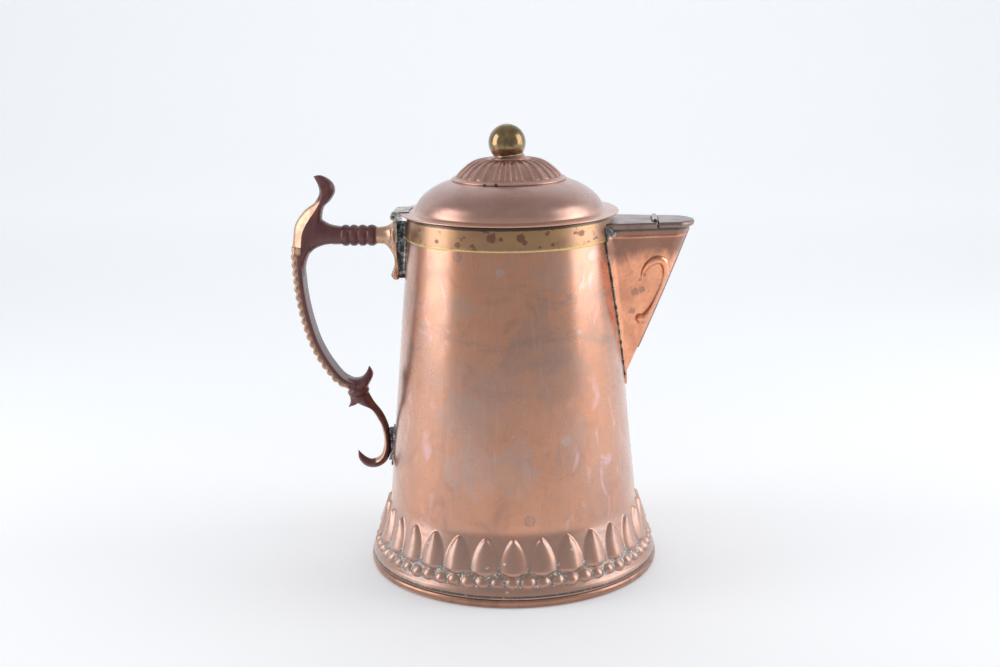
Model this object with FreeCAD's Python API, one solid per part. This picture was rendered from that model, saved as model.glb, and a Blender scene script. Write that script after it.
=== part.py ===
import FreeCAD, Part
import math
import os

# Lidded copper pot with a cast side handle and a flap-covered pouring spout.
# Units are millimetres. The origin is the centre of the foot on the table,
# +Z is up, +X points along the spout and the handle is on the -X side.

# ---- driving dimensions -------------------------------------------------
SHEET = 0.8                 # copper sheet of the body
GAP = 0.05                  # soldered or seated joint between two fixed pieces
RUN = 0.05                  # radial clearance of a pin in a moving knuckle

MOUTH_Z = 240.8             # top edge of the body
FLARE_Z = 46.0              # shoulder where the cone meets the flared foot
CONE_R = 89.1               # body cone radius continued down to z = 0
CONE_SLOPE = 0.0915         # radius lost per millimetre of height
FLARE_R = 100.59            # flare cone radius continued down to z = 0
FLARE_SLOPE = 0.325

FOOT_R = 96.3               # centre circle of the rolled foot ring
FOOT_TUBE_R = 3.0
FOOT_TUBE_WALL = 0.8
FOOT_CENTRE_Z = 2.9         # a little under the tube radius: the ring is worn flat
BASE_T = 0.9
BASE_RISE = 3.0

COLLAR_Z = 225.5
COLLAR_T = 1.2

LID_R = 73.0
LID_Z = 241.8               # underside of the lid flange
LID_SHEET = 0.9
BEZEL_R = 65.4
BEZEL_T = 0.9
BEZEL_DEPTH = 6.0
CROWN_TOP_Z = 277.0
BALL_R = 12.4
BALL_Z = 287.6
STUD_R = 2.4

LID_PIN_X = -76.4
LID_PIN_Z = 240.0
LID_KNUCKLE_R = 2.2
HINGE_PIN_R = 1.0
HINGE_HALF_W = 13.0         # half length of both hinges along Y
LID_KNUCKLE_HALF = 5.0      # half length of the middle, moving knuckle
KNUCKLE_PLAY = 0.4          # end play between neighbouring knuckles

FLAP_PIN_X = 96.7
FLAP_PIN_Z = 236.4          # the barrel is sunk into the split between the plates
FLAP_KNUCKLE_R = 1.9
FLAP_KNUCKLE_HALF = 4.8
SPLIT_X = 98.0              # end of the fixed cover beside the barrel
MOVE_GAP = 0.35             # clearance between fixed and moving pieces

SPOUT_TIP_Z = 122.0         # height where the spout would run out to nothing
SPOUT_TOP_Z = 235.2
SPOUT_SHEET = 0.8
PLATE_TOP_Z = 236.5
PLATE_T = 1.0
SKIRT_Z = 232.4

ARM_Z = 226.0               # axis of the ringed arm
HANDLE_FACE_X = -77.6       # outer face of the flange that is soldered on
FLANGE_T = 2.2


# ---- helpers ------------------------------------------------------------
def vec(x, z, y=0.0):
    return FreeCAD.Vector(x, y, z)


def spline(points):
    """Smooth curve through (x, z) points in the XZ plane."""
    curve = Part.BSplineCurve()
    curve.interpolate([vec(x, z) for x, z in points])
    return curve.toShape()


def polyline(points):
    corners = [vec(x, z) for x, z in points]
    return [Part.LineSegment(a, b).toShape() for a, b in zip(corners, corners[1:])]


def face_of(edges):
    return Part.Face(Part.Wire(Part.__sortEdges__(edges)))


def revolve(edges):
    """Full turn about the pot's axis of a closed outline in the XZ plane."""
    return face_of(edges).revolve(vec(0, 0), vec(0, 1), 360)


def turned(points):
    return revolve(polyline(points + points[:1]))


def across(edges, half_width):
    """Outline in the XZ plane, extruded symmetrically along Y."""
    face = face_of(edges)
    face.translate(FreeCAD.Vector(0, -half_width, 0))
    return face.extrude(FreeCAD.Vector(0, 2 * half_width, 0))


def slab(x0, x1, y0, y1, z0, z1):
    return Part.makeBox(x1 - x0, y1 - y0, z1 - z0, FreeCAD.Vector(x0, y0, z0))


def rod_y(x, z, radius, y0, y1):
    return Part.makeCylinder(radius, y1 - y0, vec(x, z, y0), FreeCAD.Vector(0, 1, 0))


def cone_r(z):
    return CONE_R - CONE_SLOPE * z


def flare_r(z):
    return FLARE_R - FLARE_SLOPE * z


def offset_points(points, distance):
    """Points moved square to the path they lie on, to its left."""
    moved = []
    last = len(points) - 1
    for i, (x, z) in enumerate(points):
        ahead = points[min(i + 1, last)]
        behind = points[max(i - 1, 0)]
        run = math.hypot(ahead[0] - behind[0], ahead[1] - behind[1])
        normal_x = -(ahead[1] - behind[1]) / run
        normal_z = (ahead[0] - behind[0]) / run
        moved.append((x + distance * normal_x, z + distance * normal_z))
    return moved


def pot_skin(inner, outer):
    """Layer that follows the outside of the body and collar, between two offsets."""
    low_z = 60.0
    step_low = COLLAR_Z - outer
    step_high = COLLAR_Z - inner

    def side(offset, step_z):
        over = COLLAR_T + GAP + offset
        return [
            (cone_r(low_z) + offset, low_z),
            (cone_r(step_z) + offset, step_z),
            (cone_r(step_z) + over, step_z),
            (cone_r(MOUTH_Z) + over, MOUTH_Z),
        ]

    return turned(side(inner, step_high) + side(outer, step_low)[::-1])


def pot_core(offset):
    """Solid that holds everything inside the body and collar surfaces plus an offset."""
    high_z = MOUTH_Z + 20.0
    over = COLLAR_T + GAP + offset
    step_z = COLLAR_Z - offset
    return turned([
        (0.0, 50.0),
        (cone_r(50.0) + offset, 50.0),
        (cone_r(step_z) + offset, step_z),
        (cone_r(step_z) + over, step_z),
        (cone_r(MOUTH_Z) + over, MOUTH_Z),
        (cone_r(MOUTH_Z) + over, high_z),
        (0.0, high_z),
    ])


# ---- body ---------------------------------------------------------------
def shell_outline(offset):
    """Meridian of the body sheet, from the mouth down to the seam of the base."""
    seam_z = FOOT_CENTRE_Z + FOOT_TUBE_R + GAP + BASE_T + GAP
    blend = 4.0
    return [
        (cone_r(MOUTH_Z) - offset, MOUTH_Z),
        (cone_r(FLARE_Z + blend) - offset, FLARE_Z + blend),
        (flare_r(FLARE_Z - blend) - offset, FLARE_Z - blend),
        (flare_r(seam_z) - offset, seam_z),
    ]


def body_shell():
    shell = turned(shell_outline(0.0) + shell_outline(SHEET)[::-1])
    return shell.cut(pour_opening())


def pour_opening():
    """Hole in the body wall behind the spout."""
    low_z = 150.0
    high_z = 220.0
    share = 0.62
    corners = [
        (share * spout_half_width(low_z), low_z),
        (share * spout_half_width(high_z), high_z),
    ]
    outline = [(y, z) for y, z in corners] + [(-y, z) for y, z in corners[::-1]]
    points = [vec(40.0, z, y) for y, z in outline + outline[:1]]
    return Part.Face(Part.makePolygon(points)).extrude(FreeCAD.Vector(60, 0, 0))


def base_disc():
    low = FOOT_CENTRE_Z + FOOT_TUBE_R + GAP
    rim_r = flare_r(low) - 0.1
    flat_r = 88.0
    top = low + BASE_T
    crown_mid = flat_r / 2.0
    mid_rise = BASE_RISE * 0.78
    under = Part.Arc(vec(0, low + BASE_RISE), vec(crown_mid, low + mid_rise), vec(flat_r, low))
    over = Part.Arc(vec(0, top + BASE_RISE), vec(crown_mid, top + mid_rise), vec(flat_r, top))
    rim = polyline([(flat_r, low), (rim_r, low), (rim_r, top), (flat_r, top)])
    axis = polyline([(0, low + BASE_RISE), (0, top + BASE_RISE)])
    return revolve([under.toShape(), over.toShape()] + rim + axis)


def foot_ring():
    tube = Part.makeTorus(FOOT_R, FOOT_TUBE_R)
    tube.translate(vec(0, FOOT_CENTRE_Z))
    hollow = Part.makeTorus(FOOT_R, FOOT_TUBE_R - FOOT_TUBE_WALL)
    hollow.translate(vec(0, FOOT_CENTRE_Z))
    worn = Part.makeCylinder(FOOT_R + 10.0, 5.0, vec(0, -5.0))
    return tube.cut(hollow).cut(worn)


def foot_wire():
    wire = Part.makeTorus(FOOT_R, FOOT_TUBE_R - FOOT_TUBE_WALL - GAP)
    wire.translate(vec(0, FOOT_CENTRE_Z))
    return wire


def collar_band():
    bevel = 0.25
    inner = GAP
    outer = GAP + COLLAR_T
    return turned([
        (cone_r(COLLAR_Z) + inner, COLLAR_Z),
        (cone_r(COLLAR_Z) + outer - bevel, COLLAR_Z),
        (cone_r(COLLAR_Z) + outer, COLLAR_Z + bevel),
        (cone_r(MOUTH_Z) + outer, MOUTH_Z - bevel),
        (cone_r(MOUTH_Z) + outer - bevel, MOUTH_Z),
        (cone_r(MOUTH_Z) + inner, MOUTH_Z),
    ])


# ---- lid ----------------------------------------------------------------
DOME_PROFILE = [
    (62.9, 243.9), (62.0, 246.8), (60.2, 250.2), (57.4, 253.4),
    (53.0, 256.9), (47.5, 260.0), (41.0, 262.6), (34.5, 264.2),
]
FLANGE_EDGE_T = 1.0
CROWN_PROFILE = [
    (35.2, 265.9), (33.0, 268.2), (30.0, 271.0), (26.4, 273.9),
    (22.2, 276.1), (17.0, CROWN_TOP_Z),
]
CROWN_RIM_R = 38.4


def lid_dome():
    flange_in = DOME_PROFILE[0]
    inside = offset_points(DOME_PROFILE, LID_SHEET)
    corner_r = flange_in[0] - LID_SHEET
    flange = polyline([
        flange_in,
        (LID_R - 0.5, LID_Z + FLANGE_EDGE_T),
        (LID_R, LID_Z + FLANGE_EDGE_T / 2.0),
        (LID_R - 0.5, LID_Z),
        (corner_r, LID_Z),
        (inside[0][0], inside[0][1]),
    ])
    edge = polyline([DOME_PROFILE[-1], inside[-1]])
    return revolve([spline(DOME_PROFILE), spline(inside)] + flange + edge)


def lid_core(offset):
    """Everything under the lid's outer surface, grown by an offset."""
    raised = offset_points(DOME_PROFILE, -offset)
    rim = polyline([
        raised[0],
        (LID_R + offset, LID_Z + FLANGE_EDGE_T + offset),
        (LID_R + offset, LID_Z),
        (0.0, LID_Z),
        (0.0, raised[-1][1]),
        raised[-1],
    ])
    return revolve([spline(raised)] + rim)


def lid_crown():
    inside = offset_points(CROWN_PROFILE, LID_SHEET)
    seat = LID_SHEET
    hole_r = STUD_R + GAP
    top_z = CROWN_TOP_Z
    rim_z = 265.0
    foot = polyline([
        CROWN_PROFILE[0],
        (36.2, rim_z),
        (CROWN_RIM_R - 0.6, rim_z),
        (CROWN_RIM_R, rim_z - 0.5),
        (CROWN_RIM_R, rim_z - 2.2),
        (inside[0][0] + 0.4, rim_z - 1.4),
        inside[0],
    ])
    cap = polyline([CROWN_PROFILE[-1], (hole_r, top_z), (hole_r, top_z - seat), inside[-1]])
    crown = revolve([spline(CROWN_PROFILE), spline(inside)] + foot + cap)
    return crown.cut(lid_core(GAP))


def lid_bezel():
    low = LID_Z - BEZEL_DEPTH
    high = LID_Z - GAP
    return turned([
        (BEZEL_R, high), (BEZEL_R, low), (BEZEL_R - BEZEL_T, low), (BEZEL_R - BEZEL_T, high),
    ])


def finial_ball():
    ball = Part.makeSphere(BALL_R, vec(0, BALL_Z))
    seat = Part.makeCylinder(BALL_R, BALL_R, vec(0, CROWN_TOP_Z + GAP - BALL_R))
    bore = Part.makeCylinder(STUD_R + GAP, BALL_Z - CROWN_TOP_Z, vec(0, CROWN_TOP_Z))
    return ball.cut(seat).cut(bore)


def finial_neck():
    low = CROWN_TOP_Z + GAP
    high = 279.0
    cup = turned([(5.0, low), (11.4, low), (9.4, high), (5.0, high)])
    return cup.cut(Part.makeSphere(BALL_R + GAP, vec(0, BALL_Z)))


def finial_solder():
    low = 279.0 + GAP
    bead = turned([(6.0, low), (9.9, low), (9.9, low + 0.4), (9.6, low + 0.8), (6.0, low + 0.8)])
    return bead.cut(Part.makeSphere(BALL_R + GAP, vec(0, BALL_Z)))


def finial_stud():
    low = 270.0
    return Part.makeCylinder(STUD_R, BALL_Z - 1.0 - low, vec(0, low))


def finial_nut():
    across_corners_r = 5.2
    thick = 3.0
    high = CROWN_TOP_Z - LID_SHEET - GAP
    corners = []
    for i in range(7):
        turn = math.radians(60 * i)
        corners.append(FreeCAD.Vector(
            across_corners_r * math.cos(turn), across_corners_r * math.sin(turn), high - thick))
    block = Part.Face(Part.makePolygon(corners)).extrude(FreeCAD.Vector(0, 0, thick))
    bore = Part.makeCylinder(STUD_R + GAP, thick, vec(0, high - thick))
    return block.cut(bore)


# ---- lid hinge ----------------------------------------------------------
def lid_hinge_leaf():
    """Strap on the lid flange that curls down into the middle knuckle."""
    x = LID_PIN_X
    z = LID_PIN_Z
    half = HINGE_HALF_W
    top = 243.5
    strap = across(polyline([
        (-58.0, LID_Z), (-58.0, top), (x, top), (x - 1.3, z + 2.9), (x - 2.1, z + 2.0),
        (x - 1.65, z + 1.95), (x - 1.1, z + 2.35), (x, z + 2.6), (x + 1.4, z + 2.4),
        (x + 2.4, LID_Z), (-58.0, LID_Z),
    ]), half)
    curl = across(polyline([
        (x + 1.4, z + 2.5), (x, z + 3.0), (x - 1.9, z + 2.1), (x - 2.1, z + 0.4), (x, z),
        (x + 1.6, z + 1.2), (x + 1.4, z + 2.5),
    ]), LID_KNUCKLE_HALF)
    knuckle = rod_y(x, z, LID_KNUCKLE_R, -LID_KNUCKLE_HALF, LID_KNUCKLE_HALF)
    bore = rod_y(x, z, HINGE_PIN_R + RUN, -half, half)
    leaf = strap.fuse([curl, knuckle]).cut(bore).cut(lid_core(GAP))
    return leaf.removeSplitter()


def lid_hinge_bracket():
    """Fixed leaf behind the handle flange, with the two outer knuckles."""
    x = LID_PIN_X
    z = LID_PIN_Z
    near = LID_KNUCKLE_HALF + KNUCKLE_PLAY
    leaf_x = HANDLE_FACE_X + FLANGE_T + GAP
    leaf = slab(leaf_x, leaf_x + 1.1, -HINGE_HALF_W, HINGE_HALF_W, 223.0, z)
    pieces = [leaf]
    for y0, y1 in ((-HINGE_HALF_W, -near), (near, HINGE_HALF_W)):
        pieces.append(rod_y(x, z, LID_KNUCKLE_R, y0, y1))
    bracket = pieces[0].fuse(pieces[1:])
    notch = rod_y(x, z, LID_KNUCKLE_R + 0.5, -near, near)
    bore = rod_y(x, z, HINGE_PIN_R + 0.01, -HINGE_HALF_W, HINGE_HALF_W)
    return bracket.cut(notch).cut(bore).removeSplitter()


def lid_hinge_pin():
    return rod_y(LID_PIN_X, LID_PIN_Z, HINGE_PIN_R, -HINGE_HALF_W, HINGE_HALF_W)


# ---- handle -------------------------------------------------------------
# Side outlines of the casting, as (x, z) points.
THUMB_FRONT = [
    (-131.4, 266.4), (-127.7, 266.9), (-122.0, 264.8), (-118.0, 260.6), (-117.2, 256.2),
    (-120.3, 250.1), (-125.1, 245.1), (-126.4, 240.0), (-123.4, 235.0), (-117.0, 232.5),
    (-110.0, 232.2),
]
SHOULDER_UNDER = [
    (-110.0, 219.8), (-118.4, 220.6), (-126.5, 219.8), (-133.2, 216.8), (-137.6, 211.8),
    (-139.6, 204.0), (-139.9, 198.0),
]
SHOULDER_BACK = [
    (-148.2, 198.0), (-148.8, 211.9), (-147.4, 222.0), (-145.3, 233.8), (-138.3, 243.3),
    (-130.7, 249.4), (-127.8, 255.3), (-128.6, 260.4), (-131.4, 266.4),
]
# Grip centre line with half thickness: (x, z, half).
GRIP_LINE = [
    (-144.0, 202.0, 4.2), (-142.6, 184.0, 3.8), (-138.9, 165.5, 3.6), (-133.6, 149.2, 3.5),
    (-125.4, 134.6, 3.6), (-116.4, 124.4, 3.6), (-107.5, 120.5, 3.6),
]
HORN_TOP = [
    (-120.0, 129.5), (-115.0, 127.6), (-109.6, 126.3), (-103.8, 127.3), (-100.5, 130.6),
    (-98.2, 134.9),
]
HORN_FRONT = [(-98.2, 134.9), (-95.6, 129.6), (-98.2, 122.8), (-100.3, 119.0)]
CLAW_BACK = [(-112.6, 114.5), (-112.0, 110.0), (-113.9, 105.2)]
SCROLL_INNER = [
    (-113.9, 105.2), (-107.1, 107.9), (-99.7, 105.4), (-93.6, 97.4), (-90.2, 88.0),
    (-89.9, 78.0), (-92.9, 70.1), (-99.5, 67.8), (-105.0, 71.0), (-108.0, 74.0),
]
SCROLL_OUTER = [
    (-108.0, 74.0), (-108.4, 67.9), (-103.8, 62.6), (-98.1, 61.0), (-91.0, 63.2),
    (-85.8, 69.6), (-84.4, 78.0), (-85.8, 91.3), (-89.7, 101.3), (-96.4, 110.7),
    (-100.0, 114.5),
]
RING_X = (-110.9, -105.3, -99.4, -93.2)
RING_CREST_R = 7.1
RING_VALLEY_R = 6.1
THUMB_HALF_W = 7.0
GRIP_HALF_W = 8.2
HORN_HALF_W = 6.5
SCROLL_HALF_W = 5.0
FLANGE_HALF_W = 9.0


def handle_crook():
    """Thumb scroll and shoulder."""
    cut_front = polyline([THUMB_FRONT[-1], SHOULDER_UNDER[0]])
    cut_low = polyline([SHOULDER_UNDER[-1], SHOULDER_BACK[0]])
    curves = [spline(THUMB_FRONT), spline(SHOULDER_UNDER), spline(SHOULDER_BACK)]
    return across(curves + cut_front + cut_low, THUMB_HALF_W)


def handle_grip():
    centre = [(x, z) for x, z, half in GRIP_LINE]
    left = []
    right = []
    for i, (x, z, half) in enumerate(GRIP_LINE):
        left.append(offset_points(centre, half)[i])
        right.append(offset_points(centre, -half)[i])
    ends = polyline([left[0], right[0]]) + polyline([left[-1], right[-1]])
    return across([spline(left), spline(right)] + ends, GRIP_HALF_W)


def handle_horn():
    low = polyline([HORN_FRONT[-1], (-114.0, 119.0), HORN_TOP[0]])
    return across([spline(HORN_TOP), spline(HORN_FRONT)] + low, HORN_HALF_W)


def handle_rings():
    """Double ring that joins the grip to the lower scroll."""
    rings = []
    for level in (117.6, 114.4):
        ring = Part.makeTorus(5.6, 1.9)
        ring.translate(vec(-106.6, level))
        rings.append(ring)
    core = Part.makeCylinder(6.2, 9.0, vec(-106.6, 111.5))
    return core.fuse(rings)


def handle_scroll():
    low = polyline([CLAW_BACK[0], SCROLL_OUTER[-1]])
    curves = [spline(CLAW_BACK), spline(SCROLL_INNER), spline(SCROLL_OUTER)]
    return across(curves + low, SCROLL_HALF_W)


def handle_arm():
    """Round arm with four turned rings, flaring into the flange."""
    pitch = (RING_X[-1] - RING_X[0]) / (len(RING_X) - 1)
    outline = [(-118.0, 5.9), (RING_X[0] - pitch / 2.0, RING_VALLEY_R)]
    for x in RING_X:
        outline.append((x, RING_CREST_R))
        outline.append((x + pitch / 2.0, RING_VALLEY_R))
    outline += [(-86.0, 6.0), (-82.0, 6.9), (-79.2, 8.8), (HANDLE_FACE_X + 0.5, 10.4)]
    upper = [vec(x, ARM_Z + r) for x, r in outline]
    curve = Part.BSplineCurve()
    curve.interpolate(upper)
    start = vec(outline[0][0], ARM_Z)
    end = vec(outline[-1][0], ARM_Z)
    edges = [
        curve.toShape(),
        Part.LineSegment(upper[-1], end).toShape(),
        Part.LineSegment(end, start).toShape(),
        Part.LineSegment(start, upper[0]).toShape(),
    ]
    return face_of(edges).revolve(start, FreeCAD.Vector(1, 0, 0), 360)


def handle_flange():
    """Soldered flange: wide at the hinge, narrowing to a hanging drop."""
    half = [(236.0, FLANGE_HALF_W), (214.0, FLANGE_HALF_W), (206.0, 3.4), (199.0, 2.6)]
    outline = [(w, z) for z, w in half] + [(-w, z) for z, w in half[::-1]]
    corners = [vec(HANDLE_FACE_X, z, y) for y, z in outline + outline[:1]]
    plate = Part.Face(Part.makePolygon(corners)).extrude(FreeCAD.Vector(FLANGE_T, 0, 0))
    sweep = [(-88.5, 219.8), (-84.5, 218.8), (-80.6, 216.3), (-78.2, 212.0), (-78.6, 200.0)]
    inner = polyline([sweep[-1], (-76.6, 200.0), (-76.6, 225.0), (-88.5, 225.0), sweep[0]])
    web = across([spline(sweep)] + inner, 3.2)
    drop = rod_y(-77.2, 198.7, 3.5, -3.6, 3.6)
    drop = drop.common(slab(-90, HANDLE_FACE_X + FLANGE_T, -9, 9, 180, 210))
    return plate.fuse([web, drop])


def handle():
    pieces = [
        handle_crook(), handle_grip(), handle_horn(), handle_rings(), handle_scroll(),
        handle_flange(),
    ]
    whole = handle_arm().fuse(pieces).removeSplitter()
    clear = rod_y(LID_PIN_X, LID_PIN_Z, LID_KNUCKLE_R + 1.2, -30, 30)
    return whole.cut(clear)


def handle_solder_upper():
    """Solder that fills the space between the flange and the pot."""
    face_x = HANDLE_FACE_X + FLANGE_T + GAP
    half = [(234.5, 7.6), (214.0, 7.4), (206.5, 2.8), (197.0, 2.4)]
    outline = [(w, z) for z, w in half] + [(-w, z) for z, w in half[::-1]]
    corners = [vec(face_x, z, y) for y, z in outline + outline[:1]]
    block = Part.Face(Part.makePolygon(corners)).extrude(FreeCAD.Vector(20, 0, 0))
    leaf = slab(face_x - 1.0, face_x + 1.1 + GAP, -20, 20, 223.0 - GAP, 250)
    return block.cut(pot_core(GAP)).cut(leaf)


def handle_solder_lower():
    half_w = 3.6
    block = slab(-90.0, -70.0, -half_w, half_w, 68.0, 90.0)
    outline = handle_scroll()
    return block.cut(outline).cut(pot_core(GAP)).cut(slab(-95, -86, -9, 9, 60, 95)).Solids


# ---- spout --------------------------------------------------------------
def spout_rise(z):
    return (z - SPOUT_TIP_Z) / (SPOUT_TOP_Z - SPOUT_TIP_Z)


def spout_half_width(z):
    """Half width of the spout's seam with the body."""
    return 26.5 * spout_rise(z) ** 0.75


def crease(z):
    """Corner where the sheet turns from its seam into the flat side, as (x, y)."""
    y = 0.8 * spout_half_width(z)
    stand = 3.6 * spout_rise(z) ** 0.25
    return math.sqrt(cone_r(z) ** 2 - y ** 2) + stand, y


def nose_half_width(z):
    return 13.8 * spout_rise(z) ** 0.9


def spout_front(z):
    """X of the front edge at a height: a nearly straight, slightly bowed line."""
    rise = (z - 127.3) / (SPOUT_TOP_Z - 127.3)
    return 76.7 + 44.3 * rise + 4.0 * rise * (1.0 - rise)


def nose_x(z):
    return spout_front(z) - 0.55 * nose_half_width(z)


def section_wire(side, front_x, level):
    """Closed horizontal outline, mirrored about the XZ plane, with a round nose."""
    near = [FreeCAD.Vector(x, -y, level) for x, y in side]
    far = [FreeCAD.Vector(x, y, level) for x, y in side[::-1]]
    edges = [Part.LineSegment(a, b).toShape() for a, b in zip(near, near[1:])]
    nose = Part.Arc(near[-1], FreeCAD.Vector(front_x, 0, level), far[0])
    edges.append(nose.toShape())
    edges += [Part.LineSegment(a, b).toShape() for a, b in zip(far, far[1:])]
    edges.append(Part.LineSegment(far[-1], near[0]).toShape())
    return Part.Wire(edges)


def spout_section(z, offset):
    """Section of the spout at height z, grown by an offset."""
    corner_x, corner_y = crease(z)
    seam_y = spout_half_width(z)
    seam_x = math.sqrt(cone_r(z) ** 2 - seam_y ** 2)
    depth = 1.2
    root_x = seam_x - depth * (corner_x - seam_x)
    root_y = seam_y + depth * (seam_y - corner_y)
    side = [(root_x, root_y + offset * 1.3), (corner_x + 0.3 * offset, corner_y + offset)]
    side.append((nose_x(z), nose_half_width(z) + offset))
    return section_wire(side, spout_front(z) + offset, z)


def cover_section(offset, level):
    """Outline of the cover: straight sides, run on into the pot."""
    z = SPOUT_TOP_Z
    corner_x, corner_y = crease(z)
    nose_y = nose_half_width(z)
    slope = (corner_y - nose_y) / (nose_x(z) - corner_x)
    inner_x = 45.0
    inner_y = corner_y + slope * (corner_x - inner_x)
    side = [(inner_x, inner_y + offset), (nose_x(z), nose_y + offset)]
    return section_wire(side, spout_front(z) + offset, level)


SPOUT_LEVELS = (137.0, 152.0, 170.0, 190.0, 212.0)


def spout_solid(offset, low_z=125.0, high_z=SPOUT_TOP_Z):
    levels = (low_z,) + SPOUT_LEVELS + (high_z,)
    return Part.makeLoft([spout_section(z, offset) for z in levels], True, False)


def footprint(margin, low_z, high_z):
    """Prism along X over the spout's footprint on the body, grown by a margin."""
    steps = 6
    side = []
    for i in range(steps + 1):
        z = low_z + (high_z - low_z) * i / steps
        side.append((spout_half_width(z) + margin, z))
    outline = side + [(-y, z) for y, z in side[::-1]]
    points = [vec(40.0, z, y) for y, z in outline + outline[:1]]
    return Part.Face(Part.makePolygon(points)).extrude(FreeCAD.Vector(60, 0, 0))


def spout_shell():
    hollow = spout_solid(-SPOUT_SHEET, 131.0, SPOUT_TOP_Z + 1.0)
    wall = spout_solid(0.0).cut(hollow)
    return wall.cut(pot_core(GAP))


def spout_front_strip():
    """Narrow strip soldered down the front edge."""
    low_z = 148.7
    high_z = 230.5
    steps = 6
    levels = [low_z + (high_z - low_z) * i / steps for i in range(steps + 1)]
    outer = [(spout_front(z) + 0.75, z) for z in levels]
    inner = [(spout_front(z) - 3.0, z) for z in levels]
    ends = polyline([outer[0], inner[0]]) + polyline([outer[-1], inner[-1]])
    strip = across([spline(outer), spline(inner)] + ends, 1.1)
    return strip.cut(spout_solid(GAP))


def cover_blank():
    """Whole cover with its folded skirt, before it is split at the hinge."""
    outside = Part.Face(cover_section(1.35, SKIRT_Z))
    solid = outside.extrude(vec(0, PLATE_TOP_Z - SKIRT_Z))
    inside = Part.Face(cover_section(0.45, SKIRT_Z - 1.0))
    return solid.cut(inside.extrude(vec(0, PLATE_TOP_Z - PLATE_T - SKIRT_Z + 1.0)))


def barrel_slot():
    """Room for the hinge barrel between the two plates."""
    reach = FLAP_KNUCKLE_R + MOVE_GAP
    half = HINGE_HALF_W + MOVE_GAP
    return slab(FLAP_PIN_X - reach, FLAP_PIN_X + reach, -half, half, 230, 240)


def spout_cover_plate():
    keep = slab(40, SPLIT_X, -60, 60, 200, 260)
    plate = cover_blank().common(keep).cut(barrel_slot())
    return plate.cut(pot_core(GAP)).cut(spout_solid(GAP))


def spout_flap():
    keep = slab(FLAP_PIN_X + FLAP_KNUCKLE_R + MOVE_GAP, 160, -60, 60, 200, 260)
    return cover_blank().common(keep)


def spout_leaf(side, y0, y1, bore_r):
    """Hinge leaf under a plate: side is -1 for the fixed plate and +1 for the flap."""
    high = PLATE_TOP_Z - PLATE_T - GAP
    thick = 0.75
    barrel = rod_y(FLAP_PIN_X, FLAP_PIN_Z, FLAP_KNUCKLE_R, y0, y1)
    x0, x1 = sorted((FLAP_PIN_X + side * 7.5, FLAP_PIN_X + side * 1.0))
    leaf = barrel.fuse(slab(x0, x1, y0, y1, high - thick, high))
    bore = rod_y(FLAP_PIN_X, FLAP_PIN_Z, bore_r, y0 - 1.0, y1 + 1.0)
    return leaf.cut(bore).removeSplitter()


def spout_hinge_leaf():
    return spout_leaf(1, -FLAP_KNUCKLE_HALF, FLAP_KNUCKLE_HALF, HINGE_PIN_R + RUN)


def spout_hinge_bracket(side):
    near = FLAP_KNUCKLE_HALF + KNUCKLE_PLAY
    y0, y1 = sorted((side * near, side * HINGE_HALF_W))
    return spout_leaf(-1, y0, y1, HINGE_PIN_R + 0.01)


def spout_hinge_pin():
    return rod_y(FLAP_PIN_X, FLAP_PIN_Z, HINGE_PIN_R, -HINGE_HALF_W, HINGE_HALF_W)


def spout_solder(side):
    """Bead of solder along one edge of the spout, up to its cover."""
    layer = pot_skin(GAP, GAP + 0.7)
    bead = footprint(1.5, 127.0, 231.5).cut(footprint(-0.8, 126.0, 240.0))
    half = slab(0, 120, 0, 60, 100, 260) if side > 0 else slab(0, 120, -60, 0, 100, 260)
    cut = layer.common(bead).common(half).cut(spout_solid(GAP))
    # The cut also leaves a scrap with almost no volume at the spout's point, which is no solder.
    return max(cut.Solids, key=lambda piece: piece.Volume)


# ---- one STEP file per piece ---------------------------------------------
def export(name, shape):
    if isinstance(shape, list):
        shape = Part.makeCompound(shape)
    solids = shape.Solids
    if len(solids) == 1:
        shape = solids[0]
    print(name, len(solids), round(shape.Volume), shape.isValid())
    shape.exportStep("parts/" + name + ".step")


def main():
    os.makedirs("parts", exist_ok=True)
    export("body_shell", body_shell())
    export("base_disc", base_disc())
    export("foot_ring", foot_ring())
    export("foot_wire", foot_wire())
    export("collar_band", collar_band())
    export("lid_dome", lid_dome())
    export("lid_crown", lid_crown())
    export("lid_bezel", lid_bezel())
    export("finial_ball", finial_ball())
    export("finial_neck", finial_neck())
    export("finial_solder", finial_solder())
    export("finial_stud", finial_stud())
    export("finial_nut", finial_nut())
    export("lid_hinge_leaf", lid_hinge_leaf())
    export("lid_hinge_bracket", lid_hinge_bracket())
    export("lid_hinge_pin", lid_hinge_pin())
    export("handle", handle())
    export("handle_solder_upper", handle_solder_upper())
    export("handle_solder_lower", handle_solder_lower())
    export("spout_shell", spout_shell())
    export("spout_front_strip", spout_front_strip())
    export("spout_cover_plate", spout_cover_plate())
    export("spout_flap", spout_flap())
    export("spout_hinge_leaf", spout_hinge_leaf())
    export("spout_hinge_bracket_left", spout_hinge_bracket(1))
    export("spout_hinge_bracket_right", spout_hinge_bracket(-1))
    export("spout_hinge_pin", spout_hinge_pin())
    export("spout_solder_left", spout_solder(1))
    export("spout_solder_right", spout_solder(-1))


main()
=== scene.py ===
import bpy
import bmesh
import math
import numpy as np
from mathutils import Matrix, Vector


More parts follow.
